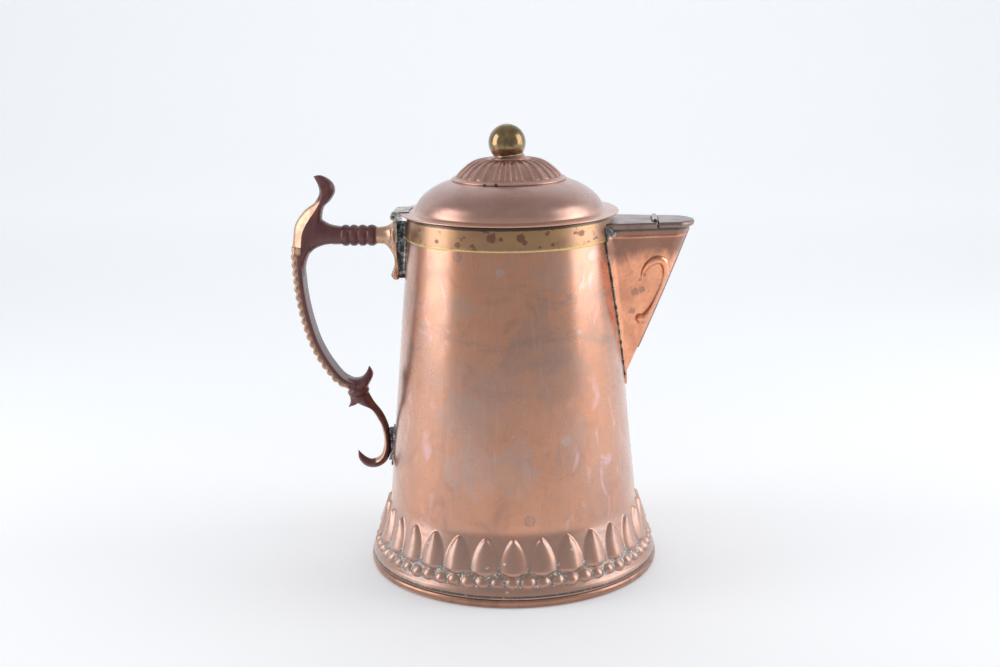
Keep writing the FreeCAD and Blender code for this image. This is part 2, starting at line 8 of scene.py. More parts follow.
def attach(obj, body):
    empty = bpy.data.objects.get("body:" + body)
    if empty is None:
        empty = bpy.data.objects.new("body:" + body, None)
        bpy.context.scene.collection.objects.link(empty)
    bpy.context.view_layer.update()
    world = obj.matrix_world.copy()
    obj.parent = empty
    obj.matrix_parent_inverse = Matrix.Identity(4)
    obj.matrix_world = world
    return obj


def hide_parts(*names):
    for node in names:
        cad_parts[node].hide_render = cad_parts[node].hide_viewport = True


# A lidded copper pot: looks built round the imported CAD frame.
# Lengths of the pot are in millimetres, and MM turns them into Blender's metres. The studio
# and the camera at the end are in metres.
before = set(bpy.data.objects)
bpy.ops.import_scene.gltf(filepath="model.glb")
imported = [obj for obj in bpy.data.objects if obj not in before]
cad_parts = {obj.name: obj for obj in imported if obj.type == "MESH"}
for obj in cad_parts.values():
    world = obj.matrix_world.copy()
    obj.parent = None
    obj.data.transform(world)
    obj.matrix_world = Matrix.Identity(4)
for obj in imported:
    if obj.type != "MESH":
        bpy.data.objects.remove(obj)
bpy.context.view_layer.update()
MM = 0.001
GOLD_MASK = "wear"
CREVICE_MASK = "crevice"
LUMP_WAVES = 10
tau = 2 * math.pi


# ---------------------------------------------------------------- curves
def curve(points, count):
    """Evenly spread points along a smooth curve through the given ones."""
    p = np.asarray(points, float)
    run = np.r_[0, np.cumsum(np.linalg.norm(np.diff(p, axis=0), axis=1))]
    slope = np.gradient(p, run, axis=0)
    s = np.linspace(0, run[-1], count)
    k = np.clip(np.searchsorted(run, s, side="right") - 1, 0, len(p) - 2)
    h = (run[k + 1] - run[k])[:, None]
    t = (s - run[k])[:, None] / h
    return ((2 * t**3 - 3 * t**2 + 1) * p[k] + (t**3 - 2 * t**2 + t) * h * slope[k]
            + (3 * t**2 - 2 * t**3) * p[k + 1] + (t**3 - t**2) * h * slope[k + 1])


def rounded(points, radius, steps=3, closed=True):
    """The outline with each corner turned into a short arc."""
    p = [np.asarray(q, float) for q in points]
    out = []
    count = len(p)
    for i in range(count):
        if not closed and i in (0, count - 1):
            out.append(p[i])
            continue
        a, b, c = p[i - 1], p[i], p[(i + 1) % count]
        back, ahead = np.linalg.norm(a - b), np.linalg.norm(c - b)
        cut = min(radius, 0.42 * back, 0.42 * ahead)
        start, end = b + (a - b) / back * cut, b + (c - b) / ahead * cut
        for t in np.linspace(0, 1, steps + 1):
            out.append((1 - t) ** 2 * start + 2 * t * (1 - t) * b + t**2 * end)
    return np.array(out)


def smoothstep(x, low, high):
    """Rises smoothly from 0 at low to 1 at high."""
    t = np.clip((x - low) / (high - low), 0, 1)
    return t * t * (3 - 2 * t)


def wobble(angle, seed, size=1.0, lowest=2, highest=9):
    """Slow uneven waves round a full turn."""
    rng = np.random.default_rng(seed)
    total = 0
    for k in range(lowest, highest):
        total = total + rng.normal() / k * np.sin(k * angle + rng.uniform(0, tau))
    return size * total


def lumps(points, wavelength, seed, size):
    """Rough three-dimensional unevenness, from waves in random directions."""
    rng = np.random.default_rng(seed)
    total = np.zeros(points.shape[:-1])
    for _ in range(LUMP_WAVES):
        way = rng.normal(size=3)
        way /= np.linalg.norm(way)
        pitch = wavelength * rng.uniform(0.6, 1.7)
        total += np.sin(points @ way * tau / pitch + rng.uniform(0, tau))
    return size * total / math.sqrt(LUMP_WAVES)


# ---------------------------------------------------------------- meshes
def quads(rows, columns, wrap_rows=False, wrap_columns=False):
    """Four-sided faces of a grid of points, numbered row by row."""
    i = np.arange(rows if wrap_rows else rows - 1)
    j = np.arange(columns if wrap_columns else columns - 1)
    i, j = np.meshgrid(i, j, indexing="ij")
    i2, j2 = (i + 1) % rows, (j + 1) % columns
    return np.stack([i * columns + j, i2 * columns + j, i2 * columns + j2,
                     i * columns + j2], -1).reshape(-1, 4)


def capped(points):
    """Points and faces of a solid from its rows of points, with a cap at each end."""
    rows, sides = points.shape[:2]
    faces = quads(rows, sides, False, True).tolist()
    faces += [list(range(sides)), [(rows - 1) * sides + k for k in range(sides)]]
    return points.reshape(-1, 3), faces


def add_mesh(name, verts, faces, recalc=True):
    """Closed mesh object from millimetre points, shaded smooth."""
    mesh = bpy.data.meshes.new(name)
    if isinstance(faces, np.ndarray):
        faces = faces.tolist()
    mesh.from_pydata((np.asarray(verts, float).reshape(-1, 3) * MM).tolist(), [], faces)
    if recalc:
        bm = bmesh.new()
        bm.from_mesh(mesh)
        bmesh.ops.recalc_face_normals(bm, faces=bm.faces)
        bm.to_mesh(mesh)
        bm.free()
    mesh.shade_smooth()
    mesh.update()
    obj = bpy.data.objects.new(name, mesh)
    bpy.context.scene.collection.objects.link(obj)
    return obj


def paint_mask(obj, name, values):
    """Stores one number for each point, which a material reads by name."""
    mask = obj.data.attributes.new(name, "FLOAT", "POINT")
    mask.data.foreach_set("value", np.asarray(values, np.float32).ravel())


def fit(obj, body, slot, material, *nodes):
    """Rides a finished piece on its body, with its material and the nodes it stands for."""
    obj.data.materials.clear()
    obj.data.materials.append(material)
    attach(obj, body)
    if nodes:
        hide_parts(*nodes)
    return obj


def lathe(name, profile, columns, shape):
    """Ring turned about the pot's axis from a closed (radius, height) outline."""
    profile = np.asarray(profile, float)
    angle = np.linspace(0, tau, columns, endpoint=False)[:, None]
    r = np.broadcast_to(profile[:, 0], (columns, len(profile))).copy()
    z = np.broadcast_to(profile[:, 1], r.shape).copy()
    r, z = shape(angle, r, z)
    points = np.stack([r * np.cos(angle), r * np.sin(angle), z], -1)
    return add_mesh(name, points, quads(columns, len(profile), True, True))


def tube(path, radii, sides):
    """Points and faces of a closed tube along a path, with a cap at each end."""
    path = np.asarray(path, float)
    count = len(path)
    along = np.gradient(path, axis=0)
    along /= np.linalg.norm(along, axis=1)[:, None]
    side = np.cross(along, (0.13, 0.21, 0.97))
    side /= np.linalg.norm(side, axis=1)[:, None]
    up = np.cross(side, along)
    turn = np.linspace(0, tau, sides, endpoint=False)
    radii = np.broadcast_to(radii, count)[:, None, None]
    ring = (side[:, None] * np.cos(turn)[None, :, None]
            + up[:, None] * np.sin(turn)[None, :, None])
    return capped(path[:, None] + radii * ring)


def merged(name, parts):
    """One object from several sets of points and faces."""
    verts, faces = [], []
    for points, part_faces in parts:
        start = sum(len(v) for v in verts)
        verts.append(np.asarray(points, float).reshape(-1, 3))
        faces += [[k + start for k in face] for face in part_faces]
    return add_mesh(name, np.concatenate(verts), faces)


# ---------------------------------------------------------------- materials
class Finish:
    """A procedural material, written as expressions over the object's own coordinates."""

    def __init__(self, name, **sockets):
        self.material = bpy.data.materials.new(name)
        self.material.use_nodes = True
        self.tree = self.material.node_tree
        self.shader = self.tree.nodes["Principled BSDF"]
        for key, value in sockets.items():
            self.shader.inputs[key.replace("_", " ")].default_value = value
        place = self.tree.nodes.new("ShaderNodeTexCoord")
        self.place = self.node("ShaderNodeVectorMath", "SCALE", Vector=place.outputs["Object"],
                               Scale=1000.0)
        split = self.tree.nodes.new("ShaderNodeSeparateXYZ")
        self.tree.links.new(self.place, split.inputs[0])
        self.x, self.y, self.z = split.outputs

    def node(self, kind, operation=None, output=0, **inputs):
        node = self.tree.nodes.new(kind)
        if operation:
            node.operation = operation
        for key, value in inputs.items():
            socket = node.inputs[int(key[1:])] if key[0] == "i" and key[1:].isdigit() else (
                node.inputs[key.replace("_", " ")])
            if isinstance(value, bpy.types.NodeSocket):
                self.tree.links.new(value, socket)
            else:
                socket.default_value = value
        return node.outputs[output]

    def math(self, operation, a, b=0.0):
        return self.node("ShaderNodeMath", operation, i0=a, i1=b)

    def times(self, a, b):
        return self.math("MULTIPLY", a, b)

    def plus(self, a, b):
        return self.math("ADD", a, b)

    def noise(self, size, detail=3.0, stretch=(1, 1, 1), seed=0.0, rough=0.55, warp=0.0):
        where = self.node("ShaderNodeVectorMath", "MULTIPLY_ADD", i0=self.place, i1=stretch,
                          i2=(seed * 17.0, seed * 31.0, seed * 47.0))
        return self.node("ShaderNodeTexNoise", Vector=where, Scale=1.0 / size, Detail=detail,
                         Roughness=rough, Distortion=warp)

    def cells(self, size, seed=0.0, stretch=(1, 1, 1)):
        where = self.node("ShaderNodeVectorMath", "MULTIPLY_ADD", i0=self.place, i1=stretch,
                          i2=(seed * 19.0, seed * 29.0, seed * 41.0))
        return self.node("ShaderNodeTexVoronoi", Vector=where, Scale=1.0 / size)

    def step(self, value, low, high, bottom=0.0, top=1.0):
        """Smooth change from bottom to top as the value goes from low to high."""
        node = self.tree.nodes.new("ShaderNodeMapRange")
        node.interpolation_type = "SMOOTHSTEP"
        for index, given in enumerate((value, low, high, bottom, top)):
            if isinstance(given, bpy.types.NodeSocket):
                self.tree.links.new(given, node.inputs[index])
            else:
                node.inputs[index].default_value = given
        return node.outputs[0]

    def mask(self, name):
        node = self.tree.nodes.new("ShaderNodeAttribute")
        node.attribute_name = name
        return node.outputs["Fac"]

    def mix(self, share, a, b):
        node = self.tree.nodes.new("ShaderNodeMix")
        node.data_type = "RGBA"
        for index, given in ((0, share), (6, a), (7, b)):
            if isinstance(given, bpy.types.NodeSocket):
                self.tree.links.new(given, node.inputs[index])
            elif index:
                node.inputs[index].default_value = (*given, 1.0)
            else:
                node.inputs[index].default_value = given
        return node.outputs[2]

    def spot(self, x, z, radius, ragged=0.35):
        """Ragged round stain on the near side, about a place in X and Z."""
        dx = self.math("SUBTRACT", self.x, x)
        dz = self.math("SUBTRACT", self.z, z)
        far = self.math("SQRT", self.plus(self.times(dx, dx), self.times(dz, dz)))
        edge = self.noise(radius * 0.8, 2.0, seed=abs(x) % 7)
        far = self.plus(far, self.times(self.math("SUBTRACT", edge, 0.5), 2.0 * ragged * radius))
        inside = self.step(far, radius, radius * 0.72)
        side = self.step(self.y, 0.0, -2.0)
        return self.times(inside, side)

    def bump(self, height, distance, normal=None):
        node = self.tree.nodes.new("ShaderNodeBump")
        node.inputs["Strength"].default_value = 1.0
        node.inputs["Distance"].default_value = distance * MM
        self.tree.links.new(height, node.inputs["Height"])
        if normal:
            self.tree.links.new(normal, node.inputs["Normal"])
        return node.outputs[0]

    def done(self, colour, roughness, normal=None, metallic=None):
        links = ((colour, "Base Color"), (roughness, "Roughness"), (normal, "Normal"),
                 (metallic, "Metallic"))
        for given, key in links:
            if isinstance(given, bpy.types.NodeSocket):
                self.tree.links.new(given, self.shader.inputs[key])
            elif given is not None:
                self.shader.inputs[key].default_value = given
        return self.material


def copper(name, colours, rough=0.3, streak=1.0, tarnish=0.5, seed=0.0, grain=0.05):
    """Aged copper: zones of tarnish, vertical streaks, stains, specks and fine scratches."""
    light, mid, dark = colours
    f = Finish(name, Metallic=1.0, Coat_Weight=0.6, Coat_Roughness=0.28)
    zones = f.noise(46.0, 3.0, (1, 1, 0.45), seed + 1.0, warp=0.4)
    patches = f.noise(15.0, 4.0, (1, 1, 0.7), seed + 2.0, 0.6, 0.8)
    colour = f.mix(f.step(zones, 0.36, 0.64), mid, light)
    colour = f.mix(f.times(f.step(patches, 0.52, 0.74), tarnish), colour, dark)
    runs = f.noise(5.0, 3.0, (1, 1, 0.06), seed + 3.0)
    colour = f.mix(f.times(f.step(runs, 0.55, 0.8), 0.4 * streak), colour, dark)
    specks = f.cells(5.0, seed + 4.0)
    speck = f.times(f.step(specks, 0.12, 0.05), f.step(patches, 0.5, 0.6))
    colour = f.mix(f.times(speck, 0.6), colour, (0.28, 0.22, 0.2))
    scratches = f.noise(0.9, 2.0, (0.12, 0.12, 1.0), seed + 5.0)
    roughness = f.plus(f.step(patches, 0.3, 0.75, rough - 0.05, rough + 0.12),
                       f.step(scratches, 0.4, 0.75, 0.0, 0.05))
    height = f.plus(f.times(f.noise(0.7, 3.0, seed=seed), 0.5), scratches)
    return f.done(colour, roughness, f.bump(height, grain))


def metal(name, light, dark, rough=0.4, size=6.0, seed=0.0, pits=0.15, metallic=1.0,
          rust=None):
    """Plain worn metal: cloudy colour, dull patches, pits."""
    f = Finish(name, Coat_Weight=0.6, Coat_Roughness=0.2)
    clouds = f.noise(size, 4.0, seed=seed + 1.0, rough=0.6)
    colour = f.mix(f.step(clouds, 0.38, 0.66), light, dark)
    fine = f.noise(size * 0.12, 3.0, seed=seed + 2.0)
    colour = f.mix(f.step(fine, 0.55, 0.75, 0.0, 0.5), colour, dark)
    if rust:
        colour = f.mix(f.step(f.noise(size * 0.6, 5.0, seed=seed + 3.0), 0.55, 0.68), colour,
                       rust)
    roughness = f.step(clouds, 0.3, 0.75, rough - 0.08, rough + 0.15)
    return f.done(colour, roughness, f.bump(fine, pits), metallic)


# ---------------------------------------------------------------- body
MOUTH_Z, SEAM_Z, SHOULDER_Z = 240.8, 6.9, 46.0
BODY_SHEET, COLLAR_LOW, COLLAR_SHEET = 0.8, 225.5, 1.3
CONE_R, CONE_TAPER = 89.1, 0.0915
FLARE_R, FLARE_TAPER = 100.59, 0.325
TONGUES, BEADS = 30, 60
TONGUE_TURN, BEAD_TURN = math.radians(-86.5), math.radians(-87.0)
TONGUE_LOW, TONGUE_SPRING, TONGUE_TIP, BEAD_Z = 18.8, 24.0, 42.6, 15.4
TONGUE_HEIGHT, TONGUE_WIDTH = 2.75, 0.93
BEAD_RING_R, BEAD_HEIGHT, BEAD_HALF_WIDTH, BEAD_HALF_Z = 95.5, 2.3, 4.6, 3.7
POUR_LOW, POUR_HIGH = 150.0, 220.0
POUR_HALF_LOW, POUR_HALF_HIGH = 5.76, 14.75


def cone_r(z):
    """Radius of the body's plain cone."""
    return CONE_R - CONE_TAPER * z


def plain_r(z):
    """Cone of the body running into the flared foot."""
    share = smoothstep(z, SHOULDER_Z - 8.0, SHOULDER_Z + 5.0)
    return share * cone_r(z) + (1 - share) * (FLARE_R - FLARE_TAPER * z)


def embossing(angle, z):
    """Height of the tongues and beads over the flare, and how deep in a crevice a point is."""
    across = (angle - TONGUE_TURN) / tau * TONGUES
    index = np.round(across)
    u = np.abs(across - index) * 2.0
    uneven = 1.0 + 0.05 * np.sin(index * 2.3 + 0.7)
    t = np.clip((z - TONGUE_SPRING) / (TONGUE_TIP - TONGUE_SPRING), 0, 1)
    foot = np.clip((z - TONGUE_LOW) / 3.2, 0, 1)
    width = TONGUE_WIDTH * (1 - t**2.3) ** 0.8 * foot**0.4
    q = np.clip(u / np.maximum(width, 1e-3), 0, 1)
    end = np.clip((1 - t) / 0.10, 0, 1) ** 0.5 * foot**0.5
    tongue = uneven * (TONGUE_HEIGHT - 0.4 * t) * end * (1 - q**2) ** 1.08
    across = (angle - BEAD_TURN) / tau * BEADS
    index = np.round(across)
    size = 1.0 + 0.10 * np.sin(index * 1.7)
    dx = (across - index) / BEADS * tau * BEAD_RING_R / (BEAD_HALF_WIDTH * size)
    dz = (z - BEAD_Z - 0.3 * np.sin(index * 2.9)) / (BEAD_HALF_Z * size)
    bead = BEAD_HEIGHT * size * np.clip(1 - dx**2 - dz**2, 0, 1) ** 0.85
    lip = 1.15 * smoothstep(z, 12.2, 9.6)
    ground = -1.6 * smoothstep(z, SHOULDER_Z + 5.0, SHOULDER_Z - 9.5)
    ground += 0.6 * smoothstep(z, 20.0, 10.0)
    raised = np.maximum(np.maximum(tongue, bead), lip)
    band = smoothstep(z, 11.0, 13.5) * smoothstep(z, 30.0, 21.0)
    crevice = band * (1 - smoothstep(raised, 0.0, 0.75))
    return ground + raised, crevice


def pour_half_width(z):
    """Half width of the pouring hole behind the spout."""
    z = np.clip(z, POUR_LOW, POUR_HIGH)
    share = (z - POUR_LOW) / (POUR_HIGH - POUR_LOW)
    return POUR_HALF_LOW + (POUR_HALF_HIGH - POUR_HALF_LOW) * share


def make_body(material):
    columns, hole, settled = 720, 18, 60
    high = np.r_[np.linspace(MOUTH_Z, POUR_HIGH, 8), np.linspace(POUR_HIGH, POUR_LOW, 22)[1:],
                 np.linspace(POUR_LOW, 52.0, 28)[1:]]
    low = np.arange(51.5, 43.0, -0.7)
    fine = np.linspace(43.0, SEAM_Z, 95)
    outer = np.r_[high, low, fine]
    inner = np.r_[high, np.linspace(50.0, SEAM_Z, 40)]
    col = np.arange(columns)
    col = np.where(col > columns // 2, col - columns, col)[:, None]

    def layer(levels, offset, share):
        z = np.broadcast_to(levels, (columns, len(levels))).copy()
        turn = math.radians(360 / columns) * col
        edge = np.arcsin(pour_half_width(z) / cone_r(z))
        far = math.radians(360 / columns * settled)
        near = edge * col / hole
        blend = np.sign(col) * (edge + (np.abs(col) - hole) / (settled - hole) * (far - edge))
        angle = np.where(np.abs(col) <= hole, near, np.where(np.abs(col) < settled, blend, turn))
        height, crevice = embossing(angle, z)
        dents = lumps(np.stack([60 * np.cos(angle), 60 * np.sin(angle), z * 0.8], -1), 60.0, 7,
                      0.10)
        dents += lumps(np.stack([80 * np.cos(angle), 80 * np.sin(angle), z], -1), 21.0, 8, 0.025)
        r = plain_r(z) - offset + share * height + dents
        return np.stack([r * np.cos(angle), r * np.sin(angle), z], -1), crevice

    out, crevice = layer(outer, 0.0, 1.0)
    back, _ = layer(inner, BODY_SHEET, 0.8)
    back = back[:, ::-1]
    points = np.concatenate([out, back], 1)
    rows = points.shape[1]
    at = np.arange(columns * rows).reshape(columns, rows)
    faces = quads(columns, rows, True, True).reshape(columns, rows, 4)
    top, bottom = (int(np.argmin(abs(outer - z))) for z in (POUR_HIGH, POUR_LOW))
    mirror = len(outer) + len(inner) - 1
    keep = np.ones((columns, rows), bool)
    inside = np.r_[np.arange(0, hole), np.arange(columns - hole, columns)]
    for j in range(top, bottom):
        keep[inside, j] = False
        keep[inside, mirror - 1 - j] = False
    faces = faces[keep].tolist()
    for k in range(-hole, hole):
        for j in (top, bottom):
            faces.append([at[k, j], at[k + 1, j], at[k + 1, mirror - j], at[k, mirror - j]])
    for k in (-hole, hole):
        for j in range(top, bottom):
            faces.append([at[k, j], at[k, j + 1], at[k, mirror - j - 1], at[k, mirror - j]])
    body = add_mesh("body", points, [[int(v) for v in face] for face in faces])
    marks = np.zeros(points.shape[:2])
    marks[:, :len(outer)] = crevice
    paint_mask(body, CREVICE_MASK, marks)
    return fit(body, "pot", "body_copper", material, "body_shell")


# ---------------------------------------------------------------- lid
BALL_R, BALL_Z, BALL_OFF_CENTRE = 12.4, 287.6, 0.9
LID_SHEET = 0.9
DOME_PROFILE = [(62.9, 243.9), (62.0, 246.8), (60.2, 250.2), (57.4, 253.4), (53.0, 256.9),
                (47.5, 260.0), (41.0, 262.6), (34.5, 264.2)]
CROWN_PROFILE = [(35.6, 265.6), (33.4, 268.2), (30.3, 271.1), (26.6, 274.0), (22.2, 276.3),
                 (17.5, 277.2), (13.0, 277.2)]
LOBES = 26


def shifted(points, distance):
    """Points moved square to the path they lie on, to its left."""
    along = np.gradient(points, axis=0)
    along /= np.linalg.norm(along, axis=1)[:, None]
    return points + distance * np.stack([-along[:, 1], along[:, 0]], -1)


def make_dome(material):
    over = curve(DOME_PROFILE, 46)
    under = shifted(over, LID_SHEET)[::-1]
    flange = rounded([(62.0, 241.8), (72.6, 241.8), (73.0, 242.4), (72.5, 242.85),
                      (64.6, 243.05)], 0.5, 2, closed=False)
    fillet = curve([(64.6, 243.05), (63.6, 243.2), (63.05, 243.9), (62.9, 244.6)], 6)[1:-1]
    outline = np.concatenate([flange, fillet, over[1:], under])

    def shape(angle, r, z):
        rim = smoothstep(r, 64.0, 72.0)
        return r + rim * wobble(angle, 3, 0.15), z + rim * wobble(angle, 4, 0.12)

    return fit(lathe("lid_dome_skin", outline, 400, shape), "lid", "lid_copper", material,
               "lid_dome")


def make_crown(material):
    over = curve(CROWN_PROFILE, 46)
    rim = rounded([(34.0, 263.5), (38.1, 263.2), (38.5, 264.2), (37.6, 264.95),
                   (36.4, 265.1)], 0.35, 2, closed=False)
    hub = np.array([(11.5, 276.9), (9.0, 276.95), (5.0, 276.95), (2.5, 276.95),
                    (2.5, 276.1)])
    under = shifted(curve(CROWN_PROFILE, 12), LID_SHEET)[::-1]
    outline = np.concatenate([rim, over, hub, under])
    flutes = np.zeros(len(outline))
    share = np.linspace(0, 1, len(over))
    flutes[len(rim):len(rim) + len(over)] = smoothstep(share, 0.0, 0.08) * (
        1 - smoothstep(share, 0.90, 1.0))
    crevice = np.zeros((520, len(outline)))

    def shape(angle, r, z):
        across = angle / tau * LOBES + 0.32
        u = np.abs(across - np.round(across)) * 2
        groove = np.clip(u, 0, 1) ** 2.2
        depth = flutes * np.clip(r / 30.0, 0.45, 1.0) * 3.0
        scallop = 1 + 0.10 * groove * smoothstep(r, 17.0, 12.0) * (z > 276.5) * (r > 12.0)
        crevice[:] = smoothstep(groove, 0.45, 0.85) * flutes * (
            0.5 + 0.5 * smoothstep(r, 22.0, 34.0))
        slope = smoothstep(r, 16.0, 33.0)
        return (r * scallop - depth * groove * (0.25 + 0.5 * slope),
                z - depth * groove * (1 - 0.45 * slope))

    crown = lathe("lid_crown_skin", outline, 520, shape)
    paint_mask(crown, CREVICE_MASK, crevice)
    return fit(crown, "lid", "crown_copper", material, "lid_crown")


def make_finial(ball_finish, neck_finish, solder_finish):
    ball = bpy.data.meshes.new("finial_knob")
    bm = bmesh.new()
    bmesh.ops.create_uvsphere(bm, u_segments=96, v_segments=64, radius=BALL_R * MM)
    for v in bm.verts:
        v.co *= 1.0 - 0.006 * math.sin(3 * math.atan2(v.co.y, v.co.x)) * abs(v.co.z) / 0.0124
        v.co.x -= BALL_OFF_CENTRE * MM
        v.co.z += BALL_Z * MM
    bm.to_mesh(ball)
    bm.free()
    ball.shade_smooth()
    knob = bpy.data.objects.new("finial_knob", ball)
    bpy.context.scene.collection.objects.link(knob)
    fit(knob, "lid", "ball_brass", ball_finish, "finial_ball")
    cone = rounded([(6.0, 276.9), (12.2, 277.0), (11.7, 277.8), (9.6, 279.6), (6.0, 280.4)],
                   0.6, 3)

    def lean(angle, r, z):
        return r + wobble(angle, 5, 0.08), z + 0.10 * r * np.cos(angle) * (z > 279)

    fit(lathe("finial_cup", cone, 120, lean), "lid", "ball_brass", neck_finish, "finial_neck")
    turn = np.linspace(0, tau, 91)[:-1]
    ring_r = 9.2 + wobble(turn, 6, 0.12)
    centre = np.stack([ring_r * np.cos(turn) - 0.4, ring_r * np.sin(turn),
                       279.35 + 0.115 * ring_r * np.cos(turn)], -1)
    section = np.linspace(0, tau, 13)[:-1]
    fat = 0.75 + 0.22 * np.sin(turn * 5 + 1) * np.sin(turn * 3)
    out = np.stack([np.cos(turn), np.sin(turn), 0 * turn], -1)
    points = (centre[:, None] + fat[:, None, None] * (
        out[:, None] * np.cos(section)[None, :, None]
        + np.array([0, 0, 0.8]) * np.sin(section)[None, :, None]))
    points += lumps(points, 1.6, 9, 0.10)[..., None] * out[:, None]
    bead = add_mesh("finial_solder_bead", points, quads(90, 12, True, True))
    fit(bead, "lid", "solder", solder_finish, "finial_solder")


# ---------------------------------------------------------------- collar and foot
def make_collar(material):
    low, high = COLLAR_LOW, MOUTH_Z
    bottom_r, top_r = cone_r(low), cone_r(high)
    bottom_out, top_out = bottom_r + COLLAR_SHEET, top_r + COLLAR_SHEET
    outline = rounded([(bottom_r + 0.1, low), (bottom_out, low), (bottom_out, low + 1.6),
                       (top_out, high), (top_r + 0.1, high)], 0.35, 3)

    def shape(angle, r, z):
        sag = smoothstep(z, low + 4.0, low)
        return r + wobble(angle, 11, 0.06, 3, 14) * (r > cone_r(z) + 0.6), (
            z + sag * wobble(angle, 12, 0.3, 2, 24))

    return fit(lathe("collar", outline, 540, shape), "pot", "collar_brass", material,
               "collar_band")


def make_foot(material):
    outline = rounded([(96.3, 5.95), (98.4, 5.3), (99.35, 3.9), (99.1, 2.4), (98.55, 1.7),
                       (98.8, 1.2), (98.3, 0.3), (97.0, 0.0), (94.4, 0.0), (93.3, 1.6),
                       (93.4, 4.0), (94.6, 5.6)], 0.7, 3)

    def shape(angle, r, z):
        return r + wobble(angle, 14, 0.12), z + (z > 0.5) * wobble(angle, 15, 0.08)

    return fit(lathe("foot_roll", outline, 480, shape), "pot", "foot_copper", material,
               "foot_ring")


# ---------------------------------------------------------------- handle
THUMB_FRONT = [(-131.2, 266.2), (-127.7, 266.9), (-122.0, 264.8), (-118.0, 260.6),
               (-117.2, 256.2), (-120.3, 250.1), (-125.1, 245.1), (-126.6, 240.0),
               (-127.0, 233.0), (-129.0, 226.0), (-132.6, 219.0), (-137.0, 212.0),
               (-139.6, 204.0), (-139.9, 198.0)]
SHOULDER_BACK = [(-131.6, 266.4), (-128.6, 260.4), (-127.8, 255.3), (-130.7, 249.4),
                 (-138.3, 243.3), (-145.3, 233.8), (-147.4, 222.0), (-148.6, 211.9),
                 (-148.0, 198.0)]
RIDGE = [(-131.4, 266.3), (-128.6, 262.2), (-125.6, 256.7), (-125.9, 251.3), (-128.4, 246.3),
         (-133.0, 239.8), (-137.1, 233.7), (-139.6, 228.0), (-140.6, 221.0), (-141.0, 212.0),
         (-141.4, 203.0)]
GRIP_LINE = [(-144.2, 218.5), (-144.5, 212.0), (-144.2, 202.0), (-142.8, 184.0), (-139.2, 165.5),
             (-133.9, 149.2), (-125.8, 134.8), (-116.6, 124.4), (-107.5, 120.5)]
HORN_TOP = [(-113.0, 126.9), (-109.6, 126.3), (-103.8, 127.3), (-100.5, 130.6),
            (-98.4, 134.9)]
HORN_FRONT = [(-107.0, 117.0), (-100.3, 119.6), (-97.9, 123.4), (-95.7, 129.6),
              (-98.0, 134.9)]
CLAW_BACK = [(-112.8, 115.0), (-112.1, 110.2), (-113.9, 105.2)]
CLAW_FRONT = [(-101.0, 112.5), (-107.1, 108.0), (-113.6, 105.1)]
SCROLL_INNER = [(-111.0, 114.0), (-107.1, 108.0), (-99.7, 105.4), (-93.6, 97.4),
                (-90.2, 88.0), (-89.9, 78.0), (-92.9, 70.1), (-99.5, 67.8), (-105.0, 71.0),
                (-107.9, 74.0)]
SCROLL_OUTER = [(-99.2, 116.0), (-96.4, 110.7), (-89.7, 101.3), (-85.8, 91.3), (-84.6, 78.0),
                (-86.2, 69.6), (-91.0, 63.6), (-98.1, 61.2), (-103.8, 62.8), (-107.9, 67.9),
                (-108.2, 74.1)]
ARM_TOP = [(-134.0, 240.0), (-129.5, 238.6), (-126.3, 236.4), (-122.8, 234.2),
           (-117.0, 232.6), (-112.0, 232.1)]
ARM_LOW = [(-139.5, 209.5), (-136.0, 213.6), (-131.6, 217.2), (-126.0, 219.4),
           (-118.4, 220.3), (-112.0, 219.9)]
RING_X = (-110.9, -105.3, -99.4, -93.2)
ARM_Z, ROPE_PITCH = 226.0, 5.6
KNOT_X, KNOT_Z = -106.4, 117.2
TURN_SIDES = 48
CASTING_VOXEL = 0.36


def superellipse(power, count=36):
    """Rounded section: 2 is a circle, more is squarer, less is sharper."""
    turn = np.linspace(0, tau, count, endpoint=False)
    c, s = np.cos(turn), np.sin(turn)
    return np.stack([np.sign(c) * abs(c) ** (2 / power), np.sign(s) * abs(s) ** (2 / power)],
                    -1)


def sweep(left, right, half_width, section, count=60):
    """Solid between two side outlines; half_width lists its half thickness along Y."""
    l, r = curve(left, count), curve(right, count)
    centre, reach = (l + r) / 2, (r - l) / 2
    share = np.linspace(0, 1, count)
    half = np.interp(share, np.linspace(0, 1, len(half_width)), half_width)
    rows = np.array([section(centre[k], reach[k]) if callable(section) else section
                     for k in range(count)])
    flat = centre[:, None] + rows[..., :1] * reach[:, None]
    return capped(np.stack([flat[..., 0], rows[..., 1] * half[:, None], flat[..., 1]], -1))


def crook_section(centre, reach):
    """Flat-sided front with a rounded edge, and a bevelled back beyond the ridge."""
    ridge = curve(RIDGE, 80)
    size = np.linalg.norm(reach)
    away = reach / size
    nearest = ridge[np.argmin(abs((ridge - centre) @ np.array([-away[1], away[0]])))]
    edge = float(np.clip((nearest - centre) @ away / size, -0.55, 0.88))
    front = np.linspace(0, 1, 12)
    nose = np.stack([-1 + 0.62 * (1 - np.cos(front * math.pi / 2)),
                     np.sin(front * math.pi / 2) ** 0.8], -1)
    flat = np.stack([np.linspace(-0.38, edge, 8)[1:], np.ones(7)], -1)
    s = np.linspace(0, 1, 14)
    back = np.stack([edge + 0.02 + (0.98 - edge) * s, 0.95 * (1 - s) ** 0.56], -1)
    half = np.concatenate([nose, flat, back])
    return np.concatenate([half, half[-2:0:-1] * [1, -1]])


def turned_x(outline, centre_z):
    """Solid turned about an axis along X, from (x, radius) points."""
    turn = np.linspace(0, tau, TURN_SIDES, endpoint=False)
    x = np.array([p[0] for p in outline])[:, None]
    r = np.array([p[1] for p in outline])[:, None]
    return capped(np.stack([x + 0 * turn, r * np.cos(turn), centre_z + r * np.sin(turn)], -1))


